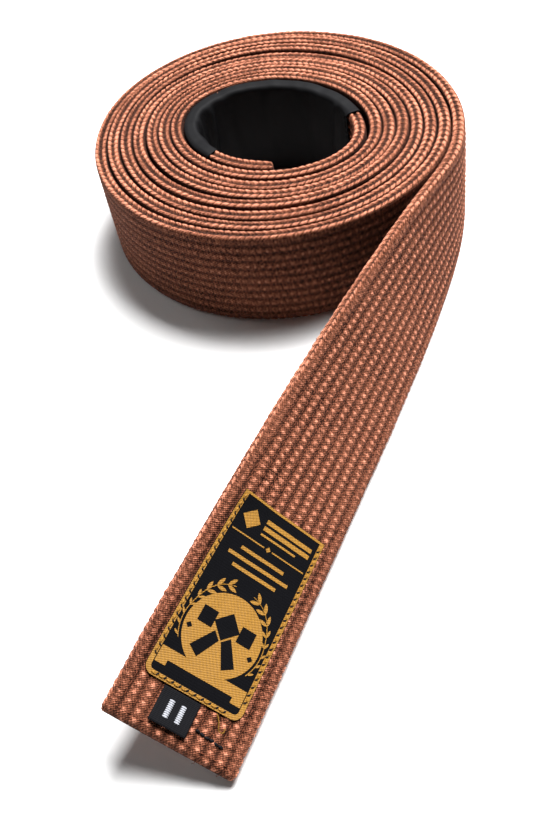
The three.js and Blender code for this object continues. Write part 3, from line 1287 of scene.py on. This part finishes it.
@dataclass
class Sewing:
    """Rows of quilting stitches and the seams that close the belt's two ends."""

    rows: int = 10
    stitch_pitch: float = 2.8
    stitch_length: float = 2.3
    thickness: float = 0.42
    depth: float = -0.12
    seam_inset: float = 2.6
    seam_pitch: float = 2.5
    seam_margin: float = 2.4
    seam_thickness: float = 0.5
    tip_inset: float = 4.0
    under_label: tuple[float, float, float, float] = (EXIT + 181.5, EXIT + 248.5, 5.0, 41.5)

    def _rows(self, name: str, start: float, stop: float, faces: tuple[int, ...],
              skip: tuple[float, float, float, float] | None = None) -> bpy.types.Object:
        """Stitches in the grooves between the weave's columns.

        Args:
            name: The piece's name.
            start: Where they begin.
            stop: Where they end.
            faces: 1 for the front face, -1 for the back one.
            skip: A patch that front stitches stay out of, as its ends along and across.

        Returns:
            The piece.
        """
        bm = bmesh.new()
        surface = 2 * Section.fold
        for face in faces:
            for row in range(1, self.rows + 1):
                across = row * PATH.width / WEAVE.columns
                place = start + self.stitch_pitch * (0.5 + 0.5 * (row % 2))
                while place < stop - self.stitch_pitch / 2:
                    covered = skip and skip[0] < place < skip[1] and skip[2] < across < skip[3] and face > 0
                    if not covered:
                        turn = 0.06 * math.sin(place * 7.1 + row)
                        spot = Vector((place, across, face * (surface + self.depth)))
                        stitch(bm, spot, self.stitch_length, self.thickness, turn)
                    place += self.stitch_pitch
        return lay_flat_piece(bm, name, Finish.BROWN_THREAD)

    def _seam(self, name: str, place: float) -> bpy.types.Object:
        """Stitches across the belt, on both faces.

        Args:
            name: The piece's name.
            place: Where it lies along the belt.

        Returns:
            The piece.
        """
        bm = bmesh.new()
        count = int((PATH.width - 3) / self.seam_pitch)
        for face in (1, -1):
            for i in range(count):
                across = self.seam_margin + i * self.seam_pitch
                spot = Vector((place, across, face * (2 * Section.fold - 0.05)))
                turn = math.pi / 2 + 0.08 * math.sin(3.1 * i)
                stitch(bm, spot, self.seam_pitch * 0.85, self.seam_thickness, turn)
        return lay_flat_piece(bm, name, Finish.BROWN_THREAD)

    def build(self) -> None:
        """Builds every row and seam."""
        rows = [f"{i:02d}" for i in range(1, 12)]
        wall = self._rows("coil_outer_quilting", PATH.length_at(PATH.turns - COVER.outer_wall), EXIT, (1,))
        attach(wall, "coil")
        inner = self._seam("inner_end_stitches", self.seam_inset)
        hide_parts("inner_end_seam")
        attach(inner, "coil")
        for stretch, start, stop in COVER.tail_stretches(self.tip_inset):
            piece = self._rows(f"tail_quilting_{stretch.value}", start, stop, (1, -1), self.under_label)
            body = "end" if stretch is Stretch.END else "tail"
            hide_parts(*(f"{body}_quilt_row_{row}" for row in rows))
            bend_with_tail(piece, stretch)
            log.info("%s: %d faces", piece.name, len(piece.data.polygons))
        outer = self._seam("outer_end_stitches", TIP - self.seam_inset)
        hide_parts("outer_end_seam")
        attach(outer, "tail_end")


# ---------------------------------------------------------------- rank sleeve


@dataclass(frozen=True)
class Crease:
    """A crease across the sleeve: its place along it, its depth, its spread and its slant."""

    place: float
    depth: float
    spread: float
    slant: float


@dataclass
class RankSleeve:
    """A black satin tube round the belt near its inner end, creased where the belt bends."""

    start: float = 28.6
    length: float = 123.0
    girth: float = 104.0
    room: float = 0.18
    wall: float = 0.34
    step: float = 0.8
    hem_inset: float = 2.7
    hem_stitches: int = 17
    hem_pitch: float = 2.5
    hem_low: float = 2.6
    hem_stitch: float = 2.0
    hem_thickness: float = 0.42
    creases: tuple[Crease, ...] = (
        Crease(7.5, 1.2, 2.3, 0.10), Crease(17.0, 1.7, 2.9, -0.16), Crease(26.5, 1.3, 2.1, 0.12),
        Crease(37.0, 1.5, 2.2, 0.2), Crease(52.0, 0.7, 3.0, -0.1), Crease(70.0, 0.6, 3.4, 0.12),
        Crease(93.0, 0.6, 2.8, -0.15), Crease(109.0, 0.9, 2.2, 0.1),
    )

    def _outline(self) -> Array:
        """The tube's outline round the belt, as rows of across, out and face weight.

        Returns:
            The rows, closed on themselves.
        """
        high, reach, corner = PATH.width + self.room, 2 * Section.fold + self.room, 1.6
        upper, lower = high - corner, corner - self.room
        centres = ((upper, reach - corner, 90), (lower, reach - corner, 180), (lower, corner - reach, 270),
                   (upper, corner - reach, 360))
        arcs = []
        for cx, cy, begin in centres:
            angles = np.radians(np.linspace(begin - 90, begin, 7))
            arcs.append(np.stack([cx + corner * np.cos(angles), cy + corner * np.sin(angles)], axis=1))
        rows = []
        for i, arc in enumerate(arcs):
            after = arcs[(i + 1) % 4][0]
            count = 40 if i in (0, 2) else 4
            between = arc[-1] + (after - arc[-1]) * np.linspace(0, 1, count + 1)[1:-1, None]
            rows += [arc, between]
        ring = np.concatenate(rows)
        return np.concatenate([ring, ring[:1]])

    def _creases(self, along: Array, across: Array) -> Array:
        """How far the inner face is pushed by creases that run across it.

        Args:
            along: Distance from the sleeve's start.
            across: Distance across the belt.

        Returns:
            Push away from the belt.
        """
        total = np.zeros_like(along)
        fading = 0.35 + 0.65 * smooth((across - 4) / 30)
        for crease in self.creases:
            wander = crease.slant * (across - PATH.width // 2) + 0.8 * np.sin(across / 9 + crease.place)
            off = along - crease.place - wander
            total += crease.depth * np.exp(-((off / crease.spread) ** 2)) * fading
        return total

    def build(self) -> None:
        """Builds the sleeve and the stitches of its two hems."""
        ring = self._outline()
        bm, u, v = grid(int(self.length / self.step), len(ring) - 1)
        along = u * self.length
        across, out = ring[np.rint(v * (len(ring) - 1)).astype(int)].T
        inner = smooth((-out - 0.3) / 2.2)
        push = self._creases(along, across) * inner * smooth((PATH.width + 1 - across) / 5)
        belly = np.sin(np.clip(across / PATH.width, 0, 1) * math.pi)
        sag = 0.35 * inner * belly * (1 + drift(along, 41.0, 2.0))
        top = smooth((across - PATH.width + 3) / 3)
        ease = 0.25 * top * (drift(along, 17.0, 4.0) + 0.6)
        ends = np.exp(-(np.minimum(along, self.length - along) / 1.2) ** 2)
        pucker = smooth(1 - (self.length - along) / 9) * (1 + np.sin(across * 1.9))
        gather = 0.28 * ends + 0.2 * pucker
        out = out - push - 0.8 * sag - gather * inner
        across = across + ease
        piece = to_object(bm, "rank_sleeve_satin")
        map_cloth(piece, along, v * self.girth)
        place_vertices(piece, PATH.lay(np.stack([self.start + along, across, out], axis=1)))
        close_up(piece)
        self._thicken(piece)
        WARDROBE.dress(piece, Finish.SLEEVE)
        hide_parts("rank_sleeve")
        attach(piece, "coil")
        self._hems()
        log.info("rank sleeve: %d faces", len(piece.data.polygons))

    def _thicken(self, piece: bpy.types.Object) -> None:
        """Gives the tube its cloth's thickness, on its outside.

        Args:
            piece: The tube.
        """
        bm = bmesh.new()
        bm.from_mesh(piece.data)
        bmesh.ops.solidify(bm, geom=bm.verts[:] + bm.edges[:] + bm.faces[:], thickness=-self.wall * MM)
        for face in bm.faces:
            face.smooth = True
        bm.to_mesh(piece.data)
        bm.free()

    def _hems(self) -> None:
        """The stitches that close the sleeve's two ends, on the face inside the hole."""
        ends = (("inner", self.start + self.hem_inset), ("outer", self.start + self.length - self.hem_inset))
        out = -(2 * Section.fold + self.room + self.wall + 0.5)
        for end, place in ends:
            bm = bmesh.new()
            for i in range(self.hem_stitches):
                spot = Vector((place, self.hem_low + self.hem_pitch * i, out))
                stitch(bm, spot, self.hem_stitch, self.hem_thickness, math.pi / 2)
            piece = lay_flat_piece(bm, f"sleeve_hem_{end}", Finish.BLACK_THREAD)
            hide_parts(f"rank_sleeve_seam_{end}")
            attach(piece, "coil")


# ---------------------------------------------------------------- label


@dataclass
class Label:
    """A woven label: black satin ground, gold border, leaf sprigs and a round device with a plain knot."""

    start: float = 182.6
    length: float = 64.6
    low: float = 6.2
    width: float = 34.0
    thickness: float = 0.55
    lift: float = 0.12
    ground_faces: tuple[int, int] = (64, 40)
    raised: float = 0.16
    border: float = 1.7
    top_border: float = 0.9
    corner: float = 3.2
    disc_along: float = 44.0
    disc_radius: float = 13.1
    leaf_count: int = 8
    sewn_pitch: float = 2.6
    sewn_inset: float = 0.9
    sunk: float = 0.05
    mark: tuple[float, float, float] = (7.2, 7.0, 3.5)
    name_bars: tuple[tuple[float, float, float], ...] = ((4.2, 1.5, 18.5), (6.6, 1.5, 18.5), (9.3, 0.7, 14.0))
    name_low: float = 12.2
    divider: tuple[float, float] = (12.7, 13.15)
    divider_inset: float = 2.6
    divider_gap: float = 1.6
    motto_lines: tuple[tuple[float, float], ...] = ((16.2, 8.6), (19.3, 5.4), (22.4, 8.6))
    motto_thickness: float = 1.15
    band: tuple[float, float, float] = (55.2, 58.6, 60.4)
    band_step: float = 5.6

    def __post_init__(self) -> None:
        """Works out the heights of the ground and of what is woven on it."""
        self.base = 2 * Section.fold + self.lift
        self.top = self.base + self.thickness
        self.middle = self.width / 2

    def at(self, x: float, y: float) -> tuple[float, float]:
        """A place on the label, measured from its upper left corner, in the belt's coordinates."""
        return EXIT + self.start + x, self.low + self.width - y

    def _curl(self, rows: Array) -> Array:
        """Lifts the label's upper left corner a little off the belt.

        Args:
            rows: Places in the belt's own coordinates.

        Returns:
            The same rows, lifted.
        """
        x, y = rows[:, 0] - EXIT - self.start, self.low + self.width - rows[:, 1]
        near = smooth(1 - x / 9) * smooth(1 - y / 16)
        rows[:, 2] += 0.85 * near + 0.07 * (drift(x, 13.0, 3.0) + drift(y, 11.0, 1.0))
        return rows

    def lay(self, bm: bmesh.types.BMesh, name: str, finish: Finish, crisp: bool = False) -> bpy.types.Object:
        """Lays one of the label's pieces on the free end, with the label's curl.

        Args:
            bm: The shape, in the belt's own coordinates, in millimetres.
            name: The piece's name.
            finish: Its finish.
            crisp: Whether its faces meet at sharp edges.

        Returns:
            The piece.
        """
        piece = to_object(bm, name)
        rows = coordinates(piece)
        map_cloth(piece, rows[:, 0], rows[:, 1])
        place_vertices(piece, PATH.lay(self._curl(rows)))
        close_up(piece)
        if crisp:
            piece.data.polygons.foreach_set("use_smooth", np.zeros(len(piece.data.polygons), dtype=bool))
        WARDROBE.dress(piece, finish)
        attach(piece, "tail_end")
        return piece

    def _ground(self) -> None:
        """The black ground, with its two lower corners rounded."""
        bm, u, v = grid(*self.ground_faces)
        for vert, across, along in zip(bm.verts, v, u):
            x, y = along * self.length, across * self.width
            drop = max(0.0, x - (self.length - self.corner))
            keep = self.corner - math.sqrt(max(0.0, self.corner ** 2 - drop ** 2))
            y = keep + (y / self.width) * (self.width - 2 * keep)
            vert.co = (*self.at(x, y), self.base)
        raise_faces(bm, self.thickness)
        piece = self.lay(bm, "label_ground", Finish.LABEL)
        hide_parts("label_patch")

    def _plate(self) -> tuple[float, float]:
        """The lower and upper faces of what is woven in gold."""
        return self.top - self.sunk, self.top + self.raised

    def _bar(self, bm: bmesh.types.BMesh, x: tuple[float, float], y: tuple[float, float],
             height: float | None = None) -> None:
        """Adds a woven bar, given from the label's upper left corner.

        Args:
            bm: What it is added to.
            x: Its ends along the label.
            y: Its ends across the label.
            height: How far it stands out, if not as far as the rest.
        """
        high = self.raised if height is None else height
        (x0, y0), (x1, y1) = self.at(x[0], y[1]), self.at(x[1], y[0])
        slab(bm, (x0, x1), (y0, y1), (self.top - self.sunk, self.top + high))

    def _border(self) -> None:
        """The gold border, and the black and gold stitches that sew it down."""
        bm = bmesh.new()
        rim, edge = self.border, 0.12
        right = self.width
        self._bar(bm, (edge, self.length - self.corner), (edge, rim))
        self._bar(bm, (edge, self.length - self.corner), (right - rim, right - edge))
        self._bar(bm, (edge, self.top_border), (rim, right - rim))
        self._bar(bm, (self.length - rim, self.length - edge), (self.corner, right - self.corner))
        for side in (0, 1):
            self._corner(bm, side, rim, edge)
        piece = self.lay(bm, "label_border", Finish.GOLD, crisp=True)
        log.info("%s: %d faces", piece.name, len(piece.data.polygons))
        gold, black = bmesh.new(), bmesh.new()
        for i in range(int((self.length - 6) / self.sewn_pitch)):
            x = 2.4 + i * self.sewn_pitch
            for y, inwards in ((self.sewn_inset, 1), (right - self.sewn_inset, -1)):
                self._sewn(gold, x, y, 1.9, 0.8, 0.15 * inwards)
                self._sewn(black, x + self.sewn_pitch / 2, y + 0.3 * inwards, 1.2, 0.6, -0.9 * inwards)
        for i in range(int((right - 6) / self.sewn_pitch)):
            y = 3.6 + i * self.sewn_pitch
            low = self.length - self.sewn_inset
            self._sewn(gold, low, y, 1.9, 0.8, math.pi / 2 + 0.15)
            self._sewn(black, low - 0.2, y + self.sewn_pitch / 2, 1.2, 0.6, math.pi / 2 - 0.9)
        stitches = self.lay(gold, "label_border_gold_stitches", Finish.GOLD)
        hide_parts("label_border_stitch")
        self.lay(black, "label_border_black_stitches", Finish.BLACK_THREAD)

    def _sewn(self, bm: bmesh.types.BMesh, x: float, y: float, length: float, thickness: float,
              turn: float) -> None:
        """Adds one stitch on the border, given from the label's upper left corner."""
        stitch(bm, Vector((*self.at(x, y), self.top + self.raised + 0.06)), length, thickness, turn)

    def _corner(self, bm: bmesh.types.BMesh, side: int, rim: float, edge: float) -> None:
        """One rounded lower corner of the border, as a spun strip.

        Args:
            bm: What it is added to.
            side: 0 for one side of the label, 1 for the other.
            rim: How wide the border is.
            edge: How far it lies inside the label's own edge.
        """
        centre_y = self.width - self.corner if side else self.corner
        cx, cy = self.at(self.length - self.corner, centre_y)
        sign = -1 if side else 1
        near, far = self.corner - rim, self.corner - edge
        low, high = self._plate()
        corners = [(near, low), (far, low), (far, high), (near, high)]
        verts = [bm.verts.new((cx, cy + sign * reach, z)) for reach, z in corners]
        face = bm.faces.new(verts)
        bmesh.ops.spin(bm, geom=[*verts, *face.edges, face], cent=(cx, cy, 0), axis=(0, 0, 1),
                       angle=-sign * math.pi / 2, steps=6, use_merge=False, use_duplicate=False)

    def _heading(self) -> None:
        """The heading: a lozenge, three plain bars beside it, a divider, and three plain lines."""
        bm = bmesh.new()
        x, y, radius = self.mark
        disc(bm, *self.at(x, y), radius, self._plate(), sides=4)
        for x, thickness, length in self.name_bars:
            self._bar(bm, (x, x + thickness), (self.name_low, self.name_low + length))
        self._bar(bm, self.divider, (self.divider_inset, self.middle - self.divider_gap))
        self._bar(bm, self.divider, (self.middle + self.divider_gap, self.width - self.divider_inset))
        disc(bm, *self.at(12.9, self.middle), 0.95, self._plate(), sides=4)
        for x, inset in self.motto_lines:
            self._bar(bm, (x, x + self.motto_thickness), (inset, self.width - inset))
        self.lay(bm, "label_heading", Finish.GOLD, crisp=True)

    def _leaf(self, bm: bmesh.types.BMesh, x: float, y: float, size: float, turn: float) -> None:
        """One leaf: a plate with two curved sides that meet in points.

        Args:
            bm: What it is added to.
            x: Its middle, along the belt.
            y: Its middle, across the belt.
            size: Its length.
            turn: Its turn about Z.
        """
        count = 6
        half = [(-0.5 + i / count, 0.17 * math.sin(math.pi * i / count) ** 0.8) for i in range(count + 1)]
        points = half + [(along, -wide) for along, wide in half[-2:0:-1]]
        cos, sin = math.cos(turn), math.sin(turn)
        corners = [(x + size * (a * cos - b * sin), y + size * (a * sin + b * cos)) for a, b in points]
        outline_slab(bm, corners, self._plate())

    def _sprigs(self) -> None:
        """A leafy sprig on each side of the round device, with a gap between their tips at the top."""
        bm = bmesh.new()
        cx, cy = self.at(self.disc_along, self.middle)
        limit = self.width / 2 - self.border - 0.3
        for side in (1, -1):
            for i in range(3 * self.leaf_count):
                swing = math.radians(118 - 13.5 * i / 3)
                reach = self._sprig_reach(swing)
                x, y = cx - reach * math.cos(swing), cy + side * min(limit, reach * math.sin(swing))
                along = math.atan2(-side * math.cos(swing), -math.sin(swing))
                stem = Vector((x, y, self.top + 0.08))
                stitch(bm, stem, 1.5, 0.34, along)
                if i % 3:
                    continue
                size = 2.1 + 1.5 * smooth((math.radians(80) - swing) / math.radians(40))
                for outwards, lean in ((1, math.radians(30)), (-1, math.radians(36))):
                    if outwards < 0 and swing > math.radians(80):
                        continue
                    turn = along - side * outwards * lean
                    middle = (x + 0.55 * size * math.cos(turn), y + 0.55 * size * math.sin(turn))
                    if abs(middle[1] - cy) < limit - 0.3:
                        self._leaf(bm, *middle, size, turn)
        self.lay(bm, "label_sprigs", Finish.GOLD, crisp=True)

    def _sprig_reach(self, swing: float) -> float:
        """How far a sprig's stem lies from the device's middle, at an angle from its top."""
        return self.disc_radius + 1.0 + 1.7 * float(smooth((math.radians(75) - swing) / math.radians(50)))

    def _device(self) -> None:
        """The round gold device, and on it a plain black knot between two lozenges."""
        bm = bmesh.new()
        cx, cy = self.at(self.disc_along, self.middle)
        disc(bm, cx, cy, self.disc_radius, self._plate(), sides=72)
        inset, height = self.border + 0.3, self.raised * 0.9
        start, middle, stop = self.band
        self._bar(bm, (start, middle), (inset, self.width - inset), height)
        self._bar(bm, (middle, stop), (inset, self.band_step), height)
        self._bar(bm, (middle, stop), (self.width - self.band_step, self.width - inset), height)
        self.lay(bm, "label_device", Finish.GOLD, crisp=True)
        bm = bmesh.new()
        z = (self.top + self.raised - 0.04, self.top + self.raised + 0.12)
        knot = cx - 3.0
        disc(bm, knot, cy, 4.6, z, sides=4)
        for side in (1, -1):
            near, far = sorted((cy + side * 4.5, cy + side * 9.6))
            slab(bm, (knot - 2.6, knot + 2.6), (near, far), z, 1.3)
            tail = [(knot + 5.0, cy + side * 0.4), (knot + 2.7, cy + side * 2.9),
                    (knot + 10.2, cy + side * 8.0), (knot + 12.4, cy + side * 4.4)]
            outline_slab(bm, tail, z, 1.3)
            disc(bm, cx + 2.2, cy + side * 11.0, 1.0, z, sides=4, rings=2)
        self.lay(bm, "label_knot", Finish.LABEL, crisp=True)

    def build(self) -> None:
        """Builds the ground and everything woven on it."""
        self._ground()
        self._border()
        self._heading()
        self._sprigs()
        self._device()
        log.info("label: ground, border, heading, sprigs, device and knot")


# ---------------------------------------------------------------- size tab and loose threads


@dataclass
class SizeTab:
    """A folded ribbon that hangs from under the label, with two plain woven bars."""

    start: float = 247.6
    length: float = 10.8
    low: float = 19.2
    width: float = 12.5
    thickness: float = 0.7
    lift: float = 0.2
    curl: float = 0.9
    faces: int = 24
    bar_start: float = 3.2
    bar_offset: float = 2.0
    bar_stitches: int = 9
    bar_pitch: float = 0.62
    stitch_length: float = 1.9
    stitch_thickness: float = 0.72

    def _lay(self, bm: bmesh.types.BMesh, name: str, finish: Finish) -> bpy.types.Object:
        """Lays a piece of the tab on the belt, curling its free end up a little.

        Args:
            bm: The shape, in the belt's own coordinates, in millimetres.
            name: The piece's name.
            finish: Its finish.

        Returns:
            The piece.
        """
        piece = to_object(bm, name)
        rows = coordinates(piece)
        map_cloth(piece, rows[:, 0], rows[:, 1])
        share = (rows[:, 0] - EXIT - self.start) / self.length
        rows[:, 2] += self.curl * smooth(share) ** 1.5 + 0.12 * np.sin(rows[:, 1] * 0.55)
        place_vertices(piece, PATH.lay(rows))
        close_up(piece)
        WARDROBE.dress(piece, finish)
        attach(piece, "size_tab")
        return piece

    def build(self) -> None:
        """Builds the ribbon and its two bars."""
        base = 2 * Section.fold + self.lift
        bm = bmesh.new()
        bmesh.ops.create_grid(bm, x_segments=self.faces, y_segments=self.faces, size=0.5)
        for vert in bm.verts:
            vert.co = (EXIT + self.start + (vert.co.x + 0.5) * self.length,
                       self.low + (vert.co.y + 0.5) * self.width, base)
        raise_faces(bm, self.thickness)
        ribbon = self._lay(bm, "size_tab_ribbon", Finish.RIBBON)
        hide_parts("size_tab")
        top = base + self.thickness
        for i, side in enumerate((1, -1), 1):
            bm = bmesh.new()
            middle = self.low + self.width / 2 + side * self.bar_offset
            for row in range(self.bar_stitches):
                along = EXIT + self.start + self.bar_start + self.bar_pitch * row
                spot = Vector((along, middle, top + 0.05))
                stitch(bm, spot, self.stitch_length, self.stitch_thickness, math.pi / 2)
            bar = self._lay(bm, f"size_tab_bar_{i}", Finish.WHITE)
            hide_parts(f"size_tab_mark_{i}")
        log.info("size tab: ribbon and two bars")


@dataclass
class LooseThreads:
    """The black stitches beside the tab, a loose gold thread, and frayed ends at the tip."""

    tack_from_tip: float = 6.6
    tack_low: float = 7.3
    tack_length: float = 10.0
    tacks: int = 6
    tack_stitch: float = 1.75
    tack_thickness: float = 1.0
    loose_start: float = 247.2
    thickness: float = 0.36
    fray_thickness: float = 0.16
    frays: tuple[tuple[float, float, float], ...] = ((12.0, 1.8, 1.0), (13.4, 1.2, -0.6), (4.0, 1.4, 0.8))

    def _strand(self, name: str, route: list[tuple[float, float, float]], finish: Finish,
                thickness: float) -> bpy.types.Object:
        """One loose strand along a smooth route in the belt's coordinates.

        Args:
            name: The piece's name.
            route: Places along it, in the belt's own coordinates.
            finish: Its finish.
            thickness: Its thickness, in millimetres.

        Returns:
            The piece.
        """
        curve = bpy.data.curves.new(name, "CURVE")
        curve.dimensions = "3D"
        curve.bevel_depth = thickness / 2 * MM
        curve.bevel_resolution = 2
        curve.resolution_u = 6
        curve.use_fill_caps = True
        spline = curve.splines.new("NURBS")
        spline.points.add(len(route) - 1)
        laid = PATH.lay(np.array(route))
        for point, place in zip(spline.points, laid):
            point.co = (*place, 1)
        spline.use_endpoint_u = True
        spline.order_u = 4
        drawn = bpy.data.objects.new(name + "_line", curve)
        bpy.context.scene.collection.objects.link(drawn)
        mesh = bpy.data.meshes.new_from_object(drawn.evaluated_get(bpy.context.evaluated_depsgraph_get()))
        bpy.data.objects.remove(drawn)
        mesh.name = name
        piece = bpy.data.objects.new(name, mesh)
        bpy.context.scene.collection.objects.link(piece)
        close_up(piece)
        rows = coordinates(piece)
        if not piece.data.uv_layers:
            map_cloth(piece, rows[:, 0] / MM, rows[:, 1] / MM)
        WARDROBE.dress(piece, finish)
        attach(piece, "tail_end")
        return piece

    def build(self) -> None:
        """Builds the tack stitches and the strands."""
        bm = bmesh.new()
        surface = 2 * Section.fold + 0.25
        along = TIP - self.tack_from_tip
        for i in range(self.tacks):
            across = self.tack_low + (i + 0.5) * self.tack_length / self.tacks
            spot = Vector((along + 0.12 * math.sin(2.3 * i) - 0.15 * i, across, surface))
            turn = math.pi / 2 + 0.12 * math.sin(1.7 * i)
            stitch(bm, spot, self.tack_stitch, self.tack_thickness, turn, sides=8)
        piece = lay_flat_piece(bm, "tack_stitches", Finish.BLACK_THREAD)
        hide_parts("end_tack_stitch")
        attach(piece, "tail_end")
        end = EXIT + self.loose_start
        curl = [(end + 0.4, 13.6, surface + 0.3), (end + 2.0, 12.0, surface + 0.9),
                (end + 4.2, 11.7, surface + 1.2), (end + 5.2, 10.2, surface + 0.9),
                (end + 4.2, 9.0, surface + 0.5), (end + 3.0, 9.6, surface + 0.5)]
        gold = self._strand("loose_gold_thread", curl, Finish.GOLD, self.thickness)
        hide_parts("loose_thread")
        for i, (across, reach, side) in enumerate(self.frays, 1):
            fray = [(TIP - 2.0, across, surface - 0.1), (TIP - 0.6, across + 0.2 * side, surface),
                    (TIP + 0.2 * reach, across + 0.7 * side, 1.6),
                    (TIP + 0.5 * reach, across + 1.3 * side, -0.5)]
            self._strand(f"frayed_end_{i}", fray, Finish.BROWN_THREAD, self.fray_thickness)
        log.info("tack stitches and loose strands")


# ---------------------------------------------------------------- studio


@dataclass(frozen=True)
class Softbox:
    """A square area light that faces a point."""

    name: str
    place: tuple[float, float, float]
    aim: tuple[float, float, float]
    size: float
    power: float

    def build(self) -> None:
        """Builds the light, turned towards its point."""
        data = bpy.data.lights.new(self.name, "AREA")
        data.size, data.energy = self.size, self.power
        light = bpy.data.objects.new(self.name, data)
        light.location = self.place
        towards = Vector(self.aim) - Vector(self.place)
        light.rotation_euler = towards.to_track_quat("-Z", "Y").to_euler()
        bpy.context.scene.collection.objects.link(light)


@dataclass
class Studio:
    """The camera, the floor and the lights. Sizes here are in metres."""

    eye: Vector = field(default_factory=lambda: Vector((0.1670, -0.1978, 0.2780)))
    aim: Vector = field(default_factory=lambda: Vector((0.0469, -0.0372, 0.0200)))
    roll: float = math.radians(15.15)
    lens: float = 39.75
    floor: float = 0.62
    glow: float = 0.05
    key: Softbox = Softbox("key_light", (0.14, 0.66, 1.2), (0.0, 0.02, 0.0), 0.7, 60.0)
    fill: Softbox = Softbox("fill_light", (-1.1, 0.1, 0.45), (0.0, 0.05, 0.02), 0.7, 3.6)

    def camera(self) -> None:
        """Places the camera and makes it the scene's own."""
        data = bpy.data.cameras.new("camera")
        data.lens, data.sensor_width, data.sensor_fit = self.lens, 36.0, "AUTO"
        data.clip_start = 0.01
        camera = bpy.data.objects.new("camera", data)
        aimed = (self.aim - self.eye).to_track_quat("-Z", "Y").to_matrix().to_4x4()
        camera.matrix_world = Matrix.Translation(self.eye) @ aimed @ Matrix.Rotation(-self.roll, 4, "Z")
        bpy.context.scene.collection.objects.link(camera)
        bpy.context.scene.camera = camera

    def build(self) -> None:
        """Builds the floor, the lights and the surroundings."""
        bm = bmesh.new()
        bmesh.ops.create_circle(bm, cap_ends=True, segments=128, radius=self.floor)
        ground = to_object(bm, "floor")
        ground.data.materials.append(Paper().make())
        self.key.build()
        self.fill.build()
        self._surroundings()
        bpy.context.scene.view_settings.view_transform = "Standard"

    def _surroundings(self) -> None:
        """A dim white glow from all round, in front of a plain white backdrop."""
        world = bpy.data.worlds.new("surroundings")
        world.use_nodes = True
        nodes, links = world.node_tree.nodes, world.node_tree.links
        back = nodes["Background"]
        ray, strength = nodes.new("ShaderNodeLightPath"), nodes.new("ShaderNodeMapRange")
        back.inputs["Color"].default_value = (1.0, 1.0, 1.0, 1.0)
        strength.inputs["To Min"].default_value = self.glow
        links.new(ray.outputs["Is Camera Ray"], strength.inputs["Value"])
        links.new(strength.outputs["Result"], back.inputs["Strength"])
        bpy.context.scene.world = world


def main() -> None:
    """Builds the studio and then the belt, from the cloth outwards."""
    logging.basicConfig(level=logging.INFO, format="%(name)s: %(message)s")
    studio = Studio()
    studio.camera()
    COVER.build()
    Core().build()
    Sewing().build()
    RankSleeve().build()
    Label().build()
    SizeTab().build()
    LooseThreads().build()
    studio.build()


if __name__ == "__main__":
    main()
